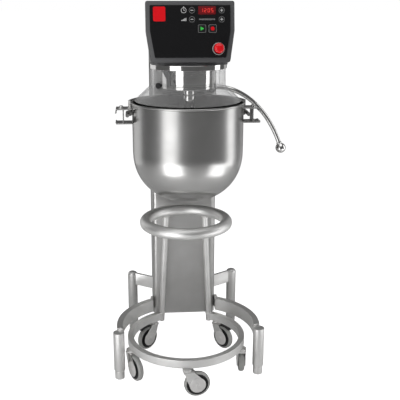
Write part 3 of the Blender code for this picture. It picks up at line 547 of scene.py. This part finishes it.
def screw(name, place, size, finish, body):
    """A domed screw head, facing +Z of its place, with a black hexagon in its recess as painted shade for the
    socket.
    """
    head = [(0, 0.35 * size)] + arc(size, 60, 0, 5)[1:]
    head = [(r, z * 0.55) for r, z in head]
    dome = turned(name, [(0.42 * size, 0.15 * size), (0.42 * size, 0.52 * size), *head[1:], (size, -0.0008),
                         (0, -0.0008)], place, 24)
    hang(name, dome, finish, body)
    # The black hexagon is painted shade: it stands in for the dark inside of the screw's socket.
    socket = plate(name, arc(0.42 * size, 0, 300, 5), 0.0, 0.20 * size, place)
    hang(name + "_socket_shade", socket, black_nylon, body)


low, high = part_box("guard_hanger")
facing_front = Matrix.Rotation(math.pi / 2, 4, "X")
for i, x in enumerate((0.010, 0.028)):
    screw(f"hanger_screw_{i}", at(low[0] + x, low[1], high[2] - 0.006) @ facing_front, 0.0030, hub_zinc,
          "machine")

# %% [markdown]
# ## The control head
# The face leans back a little, so its pieces are made flat in the face's own frame: X to the right, Y up
# the face, Z out of it. One matrix takes them all to their place. The lean is known, and the box of the
# control film gives the rest. Prints are thin raised plates, so that they also show in the exported mesh.

# %% The face's own frame
LEAN, FILM = math.radians(10.3), 0.0042

low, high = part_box("control_panel")
half_face = (high[2] - low[2] - FILM * math.sin(LEAN)) / (2 * math.cos(LEAN))
rise, back = half_face * math.cos(LEAN), half_face * math.sin(LEAN)
face_middle = ((low[0] + high[0]) / 2, low[1] + back, high[2] - rise)
face = at(*face_middle) @ Matrix.Rotation(math.pi / 2 - LEAN, 4, "X")
to_face = face.inverted()
print("the face is", round(2000 * half_face), "mm high, and leans", round(math.degrees(LEAN), 1), "degrees")


def on_face(node):
    """Where a solid's centre lies on the face."""
    return to_face @ middle(node)


refined("control_housing", head_paint)
refined("control_panel", black_film, 0.0005)

# %% Keys: a film dome with a printed ring and sign
KEY_TOP, RING_OUT, RING_IN, PRINT = 0.0015, 0.0112, 0.0098, 0.00025


def sign(name, place, size, plus, body, finish):
    """A minus, or a plus made from two strokes in one outline."""
    s, w = size / 2, size / 9
    line = [(-s, -w), (s, -w), (s, w), (-s, w)]
    if plus:
        line = [(-s, -w), (-w, -w), (-w, -s), (w, -s), (w, -w), (s, -w),
                (s, w), (w, w), (w, s), (-w, s), (-w, w), (-s, w)]
    hang(name, plate(name, line, 0, PRINT, place), finish, body)


for node in ("timer_minus", "timer_plus", "speed_minus", "speed_plus"):
    body = node + "_key"
    refined(node, key_film, 0.0006)
    spot = on_face(node)
    place = face @ at(spot.x, spot.y, KEY_TOP)
    ring = band(node + "_ring", arc(RING_OUT, 0, 352.5, 47), arc(RING_IN, 0, 352.5, 47), 0, PRINT, place)
    hang(node + "_ring", ring, grey_ink, body)
    sign(node + "_sign", place, 0.0105, node.endswith("plus"), body, white_ink)
print("key rings:", round(2000 * RING_OUT, 1), "mm across, printed", PRINT * 1000, "mm thick")

# %% Start and stop keys
for node in ("start_button", "stop_button"):
    body = node + "_key"
    refined(node, key_film, 0.0007)
    spot = on_face(node)
    place = face @ at(spot.x, spot.y, KEY_TOP)
    outer, inner = oblong(0.0300, 0.0300, 0.0042), oblong(0.0272, 0.0272, 0.0034)
    hang(node + "_frame", band(node, outer, inner, 0, PRINT, place), grey_ink, body)
    if node == "start_button":
        mark = eased([(-0.0058, -0.0078), (0.0080, 0), (-0.0058, 0.0078)], 0.0012, closed=True)
        hang("start_mark", plate("start", mark, 0, PRINT, place), green_ink, body)
    else:
        dot = plate("stop", arc(0.0075, 0, 352.5, 47), 0, PRINT, place)
        hang("stop_mark", dot, red_knob, body)
key_step = on_face("stop_button") - on_face("start_button")
print("start and stop stand", round(1000 * key_step.x, 1), "mm apart")

# %% Emergency stop: a mushroom on a dark collar, in a bright ring
CAP, RING_INSIDE, RING_OUTSIDE = 0.0195, 0.0205, 0.0235

spot = on_face("emergency_stop_button")
place = face @ at(spot.x, spot.y, 0)
cap = eased([(0, 0.0300), (0.0088, 0.0293), (0.0156, 0.0265), (CAP, 0.0215), (CAP, 0.0180), (0.0178, 0.0150),
             (0.0125, 0.0130), (0.0082, 0.0110), (0.0082, 0.0012), (0, 0.0012)], 0.003)
hang("emergency_cap", turned("cap", cap, place, 72), red_knob, "emergency_stop_button_key",
     ("emergency_stop_button",))
collar = eased([(0.0090, 0.0001), (0.0170, 0.0001), (0.0170, 0.0035), (0.0150, 0.0070), (0.0105, 0.0070),
                (0.0090, 0.0055)], 0.0012, closed=True)
hang("emergency_collar", turned("collar", collar, place, 72, closed=True), black_nylon, "machine")
bright_ring = eased([(RING_INSIDE, 0.0001), (RING_OUTSIDE, 0.0001), (RING_OUTSIDE, 0.0012),
                     (RING_INSIDE, 0.0012)], 0.0005, closed=True)
hang("emergency_ring", turned("ring", bright_ring, place, 72, closed=True), hub_zinc, "machine")
print("emergency button:", round(2000 * CAP), "mm across")

# %% [markdown]
# ### The display
# The display is a red window with four lit digits. A digit is seven bars, so one small table gives the place
# of every bar, another says which bars a digit lights, and each bar is a thin hexagon. A row of dim bars
# under the window shows the speed.

# %% Display window and its digits
BAR_LONG, BAR_WIDE, DIGIT_STEP, WINDOW_TOP = 0.0066, 0.0017, 0.0132, 0.0014
SEGMENTS = {"a": (0, 1, 0), "g": (0, 0, 0), "d": (0, -1, 0), "f": (-0.5, 0.5, 90), "b": (0.5, 0.5, 90),
            "e": (-0.5, -0.5, 90), "c": (0.5, -0.5, 90)}
LIT = {"1": "bc", "2": "abged", "5": "afgcd", "0": "abcdef"}

refined("display_window", red_film, 0.0003)
spot = on_face("display_window")
for i, digit in enumerate("1205"):
    centre = face @ at(spot.x + (i - 1.5) * DIGIT_STEP, spot.y, WINDOW_TOP)
    for segment in LIT[digit]:
        x, y, turn = SEGMENTS[segment]
        s, w = BAR_LONG / 2 - 0.0002, BAR_WIDE / 2
        shape = [(-s, 0), (-s + w, -w), (s - w, -w), (s, 0), (s - w, w), (-s + w, w)]
        place = centre @ at(x * BAR_LONG, y * BAR_LONG, 0) @ Matrix.Rotation(math.radians(turn), 4, "Z")
        hang(f"digit_{i}_{segment}", plate("bar", shape, 0, 0.0002, place), lit_red, "machine")

outer, inner = oblong(0.0680, 0.0320, 0.0040, spot.xy), oblong(0.0664, 0.0304, 0.0032, spot.xy)
hang("display_border", band("border", outer, inner, 0.0001, 0.0004, face), red_film, "machine")
print("a digit is", round(2000 * BAR_LONG, 1), "mm high")

# %% Speed row, timer and speed symbols
SPEEDS, SPEED_STEP, SYMBOL_OUT = 12, 0.0052, 0.0310


def rectangle(left, right, bottom, top):
    return [(left, bottom), (right, bottom), (right, top), (left, top)]


def printed(name, outline, ink):
    """A flat mark on the control film."""
    hang(name, plate(name, outline, 0.0001, 0.0004, face), ink, "machine")


row_y = on_face("speed_minus").y
for i in range(SPEEDS):
    x = spot.x + (i - (SPEEDS - 1) / 2) * SPEED_STEP
    printed(f"speed_bar_{i}", rectangle(x - 0.0019, x + 0.0019, row_y - 0.003, row_y + 0.003), grey_ink)

timer = on_face("timer_minus")
symbol_x, timer_y = timer.x - SYMBOL_OUT, timer.y
outer, inner = (arc(r, 0, 350, 35, (symbol_x, timer_y)) for r in (0.0105, 0.0088))
hang("timer_symbol", band("clock", outer, inner, 0.0001, 0.0004, face), white_ink, "machine")
half, across, up = 0.0008, 0.0060, 0.0070
hand = [(-half, -half), (across, -half), (across, half), (half, half), (half, up), (-half, up)]
printed("timer_hand", [(symbol_x + x, timer_y + y) for x, y in hand], white_ink)
crown = rectangle(symbol_x - 0.002, symbol_x + 0.002, timer_y + 0.0108, timer_y + 0.0135)
printed("timer_crown", crown, white_ink)
for i in range(5):
    x, foot_y = symbol_x + (i - 2) * 0.0042, row_y - 0.006
    rise = rectangle(x - 0.0013, x + 0.0013, foot_y, foot_y + 0.0030 + 0.0022 * i)
    printed(f"speed_symbol_{i}", rise, white_ink)
print("speed row:", SPEEDS, "bars over", round(1000 * (SPEEDS - 1) * SPEED_STEP), "mm")

# %% Badge: a plain red plate with a raised edge
refined("badge", red_knob, 0.0004)
spot = on_face("badge")
BADGE_TOP, EDGE_HEIGHT = 0.0018, 0.0004
outer, inner = oblong(0.0460, 0.0540, 0.0055, spot.xy), oblong(0.0436, 0.0516, 0.0045, spot.xy)
edge = band("badge_edge", outer, inner, BADGE_TOP, BADGE_TOP + EDGE_HEIGHT, face)
hang("badge_edge", edge, red_knob, "machine")

# %% [markdown]
# ## Head, column and legs
# The hood is a folded steel cover on a painted base plate, and the column is a folded box. Folded sheet has
# soft edges, so these solids only need a radius. Screws hold the hood and the back cover. The legs are
# round bar, turned down to a foot, with a groove where the levelling thread starts.

# %% Hood, column and back cover
refined("head_hood", column_steel, 0.0015)
refined("head_base_plate", head_paint, 0.0010)
refined("column_shell", column_steel, 0.0010)
refined("column_back_cover", column_steel, 0.0006)

low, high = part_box("column_back_cover")
facing_back = Matrix.Rotation(-math.pi / 2, 4, "X")
for i, x in enumerate((low[0] + 0.012, high[0] - 0.012)):
    for j in range(4):
        z = low[2] + 0.020 + (high[2] - low[2] - 0.040) * j / 3
        screw(f"cover_screw_{i}_{j}", at(x, high[1], z) @ facing_back, 0.0042, hub_zinc, "machine")
low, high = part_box("head_hood")
for side, x in ((-1, low[0]), (1, high[0])):
    for j in range(3):
        y = low[1] + 0.10 + (high[1] - low[1] - 0.14) * j / 2
        place = at(x - side * 0.0004, y, low[2] + 0.016) @ Matrix.Rotation(side * math.pi / 2, 4, "Y")
        screw(f"hood_screw_{side}_{j}", place, 0.0042, hub_zinc, "machine")

# %% Louvres that let the motor's warm air out at the back of the hood
LOUVRES, LOUVRE_STEP = 7, 0.016
low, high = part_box("head_hood")
for i in range(LOUVRES):
    z = high[2] - 0.055 - i * LOUVRE_STEP
    shape = eased([(-0.060, -0.004), (0.060, -0.004), (0.054, 0.004), (-0.054, 0.004)], 0.003, closed=True)
    place = at(bowl_axis.x, high[1] - 0.0006, z) @ facing_back
    lip = hang(f"hood_louvre_{i}", plate("louvre", shape, 0, 0.0044, place), column_steel, "machine")
    radius_edges(lip, 0.0022, 3)
    # Under each lip a black strip is painted shade: it stands in for the dark opening into the hood.
    gap = plate("louvre_shade", oblong(0.104, 0.0030, 0.0014, (0, -0.0050)), 0, 0.0009, place)
    hang(f"hood_louvre_shade_{i}", gap, black_nylon, "machine")
print("louvres:", LOUVRES, "over", round(1000 * (LOUVRES - 1) * LOUVRE_STEP), "mm")

# %% Legs, feet and rails
FOOT_RADIUS, FOOT_HEIGHT, GROOVE = 0.021, 0.040, 0.0016


def foot(radius):
    """The lower end of a leg: a groove, the foot and its rounded rim."""
    return [(radius, FOOT_HEIGHT), (FOOT_RADIUS - GROOVE, FOOT_HEIGHT - 0.0008),
            (FOOT_RADIUS - GROOVE, FOOT_HEIGHT - 0.0042), (FOOT_RADIUS, FOOT_HEIGHT - 0.005),
            (FOOT_RADIUS, 0.0), (0, 0.0)]


for label in ("left", "right"):
    low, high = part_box("front_leg_" + label)
    spot = middle("front_leg_" + label)
    radius = (high[0] - low[0]) / 2
    profile = eased([(0, high[2]), (radius, high[2]), *foot(radius)], 0.0022)
    leg = turned("leg", profile, at(spot.x, spot.y, 0), 64)
    hang("front_leg_turned_" + label, leg, leg_steel_painted_bright, "machine", ("front_leg_" + label,))
    refined("rear_leg_" + label, leg_steel_painted_bright, 0.0)
    refined("side_rail_" + label, leg_steel_painted_bright, 0.0016)
print("front legs:", round(1000 * high[2]), "mm high")

# %% Cable gland
low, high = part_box("cable_gland")
spot = middle("cable_gland")
profile = eased([(0, 0.030), (0.007, 0.030), (0.0095, 0.026), (0.0095, 0.012), (0.015, 0.012), (0.015, 0),
                 (0, 0)], 0.0015)
gland = turned("gland", profile, at(spot.x, low[1], spot.z) @ facing_back, 48)
hang("cable_gland_turned", gland, black_nylon, "machine", ("cable_gland",))

# %% [markdown]
# ## The lift lever
# The lever is a bent steel bar with a ball at its end. A Bezier line gives the bend with two control
# points. The hub and its cap screw hide where the bar is welded on, and a small collar seats the ball.

# %% Lever bar, hub and ball
BAR_RADIUS, BALL = 0.0098, 0.023
TIP, CONTROLS = Vector((0.3165, -0.2735)), (Vector((0.120, 0.015)), Vector((0.255, -0.085)))

pivot = Vector(joints["lever_turn"]["pos_m"])


def lever_line(t):
    u = 1 - t
    flat = 3 * u * u * t * CONTROLS[0] + 3 * u * t * t * CONTROLS[1] + t**3 * TIP
    return (pivot.x + flat.x, pivot.y, pivot.z + flat.y)


line = [lever_line(i / 60) for i in range(58)]
hang("lever_bar", bar("lever_bar", line, BAR_RADIUS), lever_steel, "lever", ("lift_lever",))
hub = eased([(0, 0.0125), (0.0115, 0.0125), (0.0125, 0.0105), (0.024, 0.0105), (0.024, -0.042),
             (0.0125, -0.042), (0.0125, -0.158), (0, -0.158)], 0.0025)
place = at(*pivot) @ facing_front
hang("lever_hub", turned("hub", hub, place, 64), polished_steel, "lever")
screw("lever_screw", place @ at(0, 0, 0.0125), 0.0075, hub_zinc, "lever")

spot = middle("lever_ball")
end = Vector(lever_line(1)) - Vector(lever_line(0.96))
aim = end.to_track_quat("Z", "Y").to_matrix().to_4x4()
ball = [(0.0118, -0.0272), (0.0118, -0.0222)] + arc(BALL, -62, 90, 30)
ball = eased([(0, -0.0272), *ball[:2]], 0.001) + [(r if r > 1e-5 else 0, z) for r, z in ball[2:]]
hang("lever_ball_turned", turned("ball", ball, at(*spot) @ aim, 72), polished_steel, "lever", ("lever_ball",))
print("lever reaches", round(1000 * TIP.length), "mm from its pivot")

# %% [markdown]
# ## The trolley
# The trolley's lower ring is flat bar rolled on edge, open at the back, and a thick tube ring on two leaning
# bars carries the bowl. Weld beads join them: a bead is a torus with a rippled tube, and one sine wave round
# the ring makes the ripples.

# %% Lower ring
swivels = {name: Vector(joints[f"swivel_{name}_turn"]["pos_m"]) for name in
           ("front", "right", "rear_right", "rear_left", "left")}
trolley_axis = sum(swivels.values(), Vector()) / len(swivels)
RING_OUTER, RING_WIDE, RING_OPEN, TROLLEY_TURN = 0.260, 0.0255, 27, -3

low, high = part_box("lower_ring")
section = eased([(RING_OUTER, low[2]), (RING_OUTER, high[2]), (RING_OUTER - RING_WIDE, high[2]),
                 (RING_OUTER - RING_WIDE, low[2])], 0.0022, closed=True)
start = math.radians(90 + RING_OPEN + TROLLEY_TURN)
sweep = math.radians(360 - 2 * RING_OPEN)
on_trolley = at(trolley_axis.x, trolley_axis.y, 0)
ring = turned("ring", section, on_trolley, 110, start, sweep, closed=True)
radius_edges(hang("lower_ring_rolled", ring, ring_steel_painted_bright, "trolley", ("lower_ring",)), 0.0012)
print("trolley ring:", round(2000 * RING_OUTER), "mm across")

# %% Support ring, its leaning bars and the weld beads
low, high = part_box("support_ring")
tube_radius = (high[2] - low[2]) / 2 / math.cos(math.pi / 10)
support_radius = (high[0] - low[0]) / 2 - tube_radius
centre = middle("support_ring")
tube = [(support_radius + r, z) for r, z in arc(tube_radius, 0, 345, 23)]
place = at(centre.x, centre.y, centre.z)
hang("support_ring_bent", turned("support", tube, place, 128, closed=True), ring_steel_painted_bright, "trolley",
     ("support_ring",))


def bead(name, radius, place, body, finish):
    """A rippled weld bead round a bar, in the plane across it."""

    def build(bm):
        around, across = 48, 8
        rows = []
        for i in range(around):
            t = 2 * math.pi * i / around
            wire = 0.0026 + 0.0005 * math.sin(17 * t)
            rows.append([bm.verts.new(((radius + wire * math.cos(s)) * math.cos(t),
                                       (radius + wire * math.cos(s)) * math.sin(t), wire * math.sin(s)))
                         for s in (2 * math.pi * j / across for j in range(across))])
        for i in range(around):
            for j in range(across):
                a, b, k = rows[i], rows[(i + 1) % around], (j + 1) % across
                bm.faces.new((a[j], b[j], b[k], a[k]))

    hang(name, mesh_from(name, build, place), finish, body)


UPRIGHT = 0.013
for side, label in ((-1, "left"), (1, "right")):
    foot_turn = math.radians(90 - side * RING_OPEN + TROLLEY_TURN)
    head_turn = math.radians(90 - side * 30 + TROLLEY_TURN)
    foot_r = RING_OUTER - RING_WIDE / 2
    bottom_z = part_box("upright_" + label)[0][2] + 0.0016
    bottom = Vector((trolley_axis.x + foot_r * math.cos(foot_turn),
                     trolley_axis.y + foot_r * math.sin(foot_turn), bottom_z))
    top = Vector((trolley_axis.x + support_radius * math.cos(head_turn),
                  trolley_axis.y + support_radius * math.sin(head_turn), centre.z))
    run = (top - bottom).normalized()
    top_end = top - run * (tube_radius - 0.004)
    post = bar("upright", [tuple(bottom), tuple(top_end)], UPRIGHT)
    hang("upright_bar_" + label, post, ring_steel_painted_bright, "trolley", ("upright_" + label,))
    lean = run.to_track_quat("Z", "Y").to_matrix().to_4x4()
    top_point = top - run * (tube_radius + 0.0006)
    bead(f"support_bead_{label}", UPRIGHT + 0.0006, at(*top_point) @ lean, "trolley", ring_steel_painted_bright)
    ring_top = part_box("lower_ring")[1][2]
    foot_point = bottom + run * ((ring_top - bottom.z) / run.z)
    bead(f"foot_bead_{label}", UPRIGHT + 0.0004, at(*foot_point), "trolley", ring_steel_painted_bright)
print("support ring:", round(2000 * (support_radius + tube_radius)), "mm across")

# %% [markdown]
# ## The casters
# A caster is a polished fork that swivels under the ring, a black nylon wheel centre, a zinc hub cap and a
# soft grey tyre. Five of them stand round the ring, turned each its own way, so one function makes a
# caster from its two joints: the swivel's axis, and the axle's place and direction.

# %% One caster
WHEEL, TREAD = 0.0555, 0.026


def caster(label):
    swivel = joints[f"swivel_{label}_turn"]
    spin = joints[f"wheel_{label}_spin"]
    hub = Vector(spin["pos_m"])
    trail = Vector((hub.x - swivel["pos_m"][0], hub.y - swivel["pos_m"][1], 0)).normalized()
    turn = math.atan2(trail.y, trail.x)
    upright = at(swivel["pos_m"][0], swivel["pos_m"][1], 0) @ Matrix.Rotation(turn, 4, "Z")
    flat = at(*hub) @ Matrix.Rotation(turn, 4, "Z") @ Matrix.Rotation(math.pi / 2, 4, "X")
    wheel_body, fork_body = "wheel_" + label, "swivel_" + label
    half, rim = TREAD / 2, 0.0455

    tyre = [(rim, half - 0.002), (rim + 0.003, half), (WHEEL - 0.005, half - 0.001), (WHEEL, half - 0.006)]
    tyre = eased(tyre + [(r, -y) for r, y in reversed(tyre)], 0.003, closed=True)
    hang("tyre_" + label, turned("tyre", tyre, flat, 72, closed=True), grey_rubber, wheel_body,
         ("caster_wheel_" + label,))
    web = [(0.0070, half - 0.0015), (0.014, half - 0.0015), (0.016, half - 0.006),
           (rim - 0.006, half - 0.006), (rim - 0.003, half - 0.0015), (rim + 0.0006, half - 0.0015)]
    web = turned("centre", eased(web + [(r, -y) for r, y in reversed(web)], 0.0012, closed=True), flat, 64,
                 closed=True)
    hang("wheel_centre_" + label, web, black_nylon, wheel_body)

    refined("caster_fork_" + label, polished_steel, 0.0008)
    race = eased([(0.0140, 0.1175), (0.0188, 0.1175), (0.0198, 0.1200), (0.0188, 0.1230), (0.0140, 0.1230)],
                 0.0015, closed=True)
    hang("swivel_race_" + label, turned("race", race, upright, 48, closed=True), hub_zinc, fork_body)
    for side in (-1, 1):
        cap = eased([(0, 0.0036), (0.0065, 0.0036), (0.0085, 0.0020), (0.0310, 0.0014), (0.0345, 0), (0, 0)],
                    0.0012)
        turn_over = Matrix.Rotation(0 if side > 0 else math.pi, 4, "X")
        hang(f"hub_cap_{label}_{side}", turned("cap", cap, flat @ turn_over @ at(0, 0, 0.0180), 40), hub_zinc,
             fork_body)


for label in swivels:
    caster(label)
print("casters:", len(swivels), "with wheels", round(2000 * WHEEL), "mm across")

# %% Brake pedals
BRAKED = {"rear_right": 1, "rear_left": 1, "right": -1}

for label, side in BRAKED.items():
    swivel = joints[f"swivel_{label}_turn"]["pos_m"]
    hub = Vector(joints[f"wheel_{label}_spin"]["pos_m"])
    turn = math.atan2(hub.y - swivel[1], hub.x - swivel[0])
    upright = at(swivel[0], swivel[1], 0) @ Matrix.Rotation(turn, 4, "Z")
    outline = eased([(0.028, 0.1165), (0.062, 0.1180), (0.088, 0.1085), (0.088, 0.1045), (0.062, 0.1135),
                     (0.028, 0.1125)], 0.002, closed=True)
    lay_down = Matrix.Rotation(math.pi / 2, 4, "X")
    pedal = plate("pedal", outline, -0.011, 0.011, upright @ lay_down)
    radius_edges(hang("brake_pedal_" + label, pedal, black_nylon, "swivel_" + label), 0.0012)
print("casters with a brake:", len(BRAKED))

# %% [markdown]
# ## Inside the head and the column
# The motor, belt, pulleys, gears and the lift's carriage are hidden unless a cover is off. Their solids
# have the right shape, so they keep it and get a casting's or a belt's finish. All that is left of the
# frame is given its finish the same way, so that no surface is plain.

# %% Hidden works
WORKS = {"motor": head_paint, "motor_pulley": cast_iron, "main_pulley": cast_iron, "main_shaft": ring_steel_painted_bright,
         "bearing_housing": cast_iron, "drive_belt": belt_rubber, "ring_gear": cast_iron,
         "planet_gear": cast_iron, "lift_carriage": cast_iron}
for node, finish in WORKS.items():
    solid = frame["nodes"][node]
    solid.data.materials.clear()
    solid.data.materials.append(finish)
print("solids with a plain finish on:", len(WORKS))

# %% [markdown]
# ## Light
# Steel shows its surroundings and not its own colour, so the light is arranged round the bowl. A wide soft
# light in front on the left makes the bright upright band, a second one far round on the right edges the
# bowl, and the dark gap between them is what makes steel look like steel. A big light overhead lifts the
# pale floor, and two low lights just above it brighten the rings and the casters. The floor and the world are
# white to look at and dim to the steel, because a white room all round would make the steel look flat.


# %% Floor and world: white to the eye, dim to the steel
EYE, STEEL_SEES = 1.0, 0.115


def seen_or_lit(tree, seen, lit):
    """One value for what the eye sees straight on, and another for what lights or reflects."""
    path = tree.nodes.new("ShaderNodeLightPath")
    value = tree.nodes.new("ShaderNodeMapRange")
    value.inputs["To Min"].default_value, value.inputs["To Max"].default_value = lit, seen
    tree.links.new(path.outputs["Is Camera Ray"], value.inputs["Value"])
    return value.outputs["Result"]


def pale_floor():
    finish = bpy.data.materials.new("pale_floor")
    finish.use_nodes = True
    shader = finish.node_tree.nodes["Principled BSDF"]
    shader.inputs["Base Color"].default_value = (0.90, 0.90, 0.90, 1)
    shader.inputs["Roughness"].default_value = 0.95
    shader.inputs["Specular IOR Level"].default_value = 0.1
    shader.inputs["Emission Color"].default_value = (1, 1, 1, 1)
    glow = seen_or_lit(finish.node_tree, 0.93, 0.0)
    finish.node_tree.links.new(glow, shader.inputs["Emission Strength"])
    return finish


floor = bpy.data.objects.new("floor", plate("floor", oblong(120, 120, 1.0), -0.02, 0, at(0, 30, -0.0005)))
floor.data.materials.append(pale_floor())
scene.collection.objects.link(floor)

world = bpy.data.worlds.new("studio")
scene.world = world
world.use_nodes = True
backdrop = world.node_tree.nodes["Background"]
backdrop.inputs["Color"].default_value = (1, 1, 1, 1)
world.node_tree.links.new(seen_or_lit(world.node_tree, EYE, STEEL_SEES), backdrop.inputs["Strength"])


# %% Soft lights
def soft_light(name, bearing, distance, height, width, tall, glow, aim=0.9):
    """A rectangle of light. Bearing is in degrees from the operator's side, to the right."""
    data = bpy.data.lights.new(name, "AREA")
    data.shape, data.size, data.size_y = "RECTANGLE", width, tall
    data.energy = glow * math.pi * width * tall
    light = bpy.data.objects.new(name, data)
    scene.collection.objects.link(light)
    light.visible_camera = False
    turn = math.radians(bearing - 90)
    across, along = distance * math.cos(turn), distance * math.sin(turn)
    light.location = (bowl_axis.x + across, bowl_axis.y + along, height)
    target = Vector((bowl_axis.x, bowl_axis.y, aim))
    light.rotation_euler = (target - light.location).to_track_quat("-Z", "Y").to_euler()


soft_light("left_band", -40, 2.6, 1.3, 1.5, 2.8, 1.9)
soft_light("right_edge", 91, 2.4, 1.2, 0.9, 2.6, 1.9)
soft_light("left_edge", -130, 2.6, 1.2, 1.8, 2.4, 0.7)
soft_light("right_rim", 138, 2.6, 1.2, 1.0, 2.4, 0.4)
soft_light("overhead", 0, 0.6, 3.6, 3.2, 3.2, 1.1)
soft_light("low_left", -34, 1.3, 0.02, 0.9, 1.1, 2.6, 0.45)
soft_light("low_right", 60, 1.3, 0.02, 0.9, 1.1, 2.0, 0.45)
scene.view_settings.view_transform = "Standard"
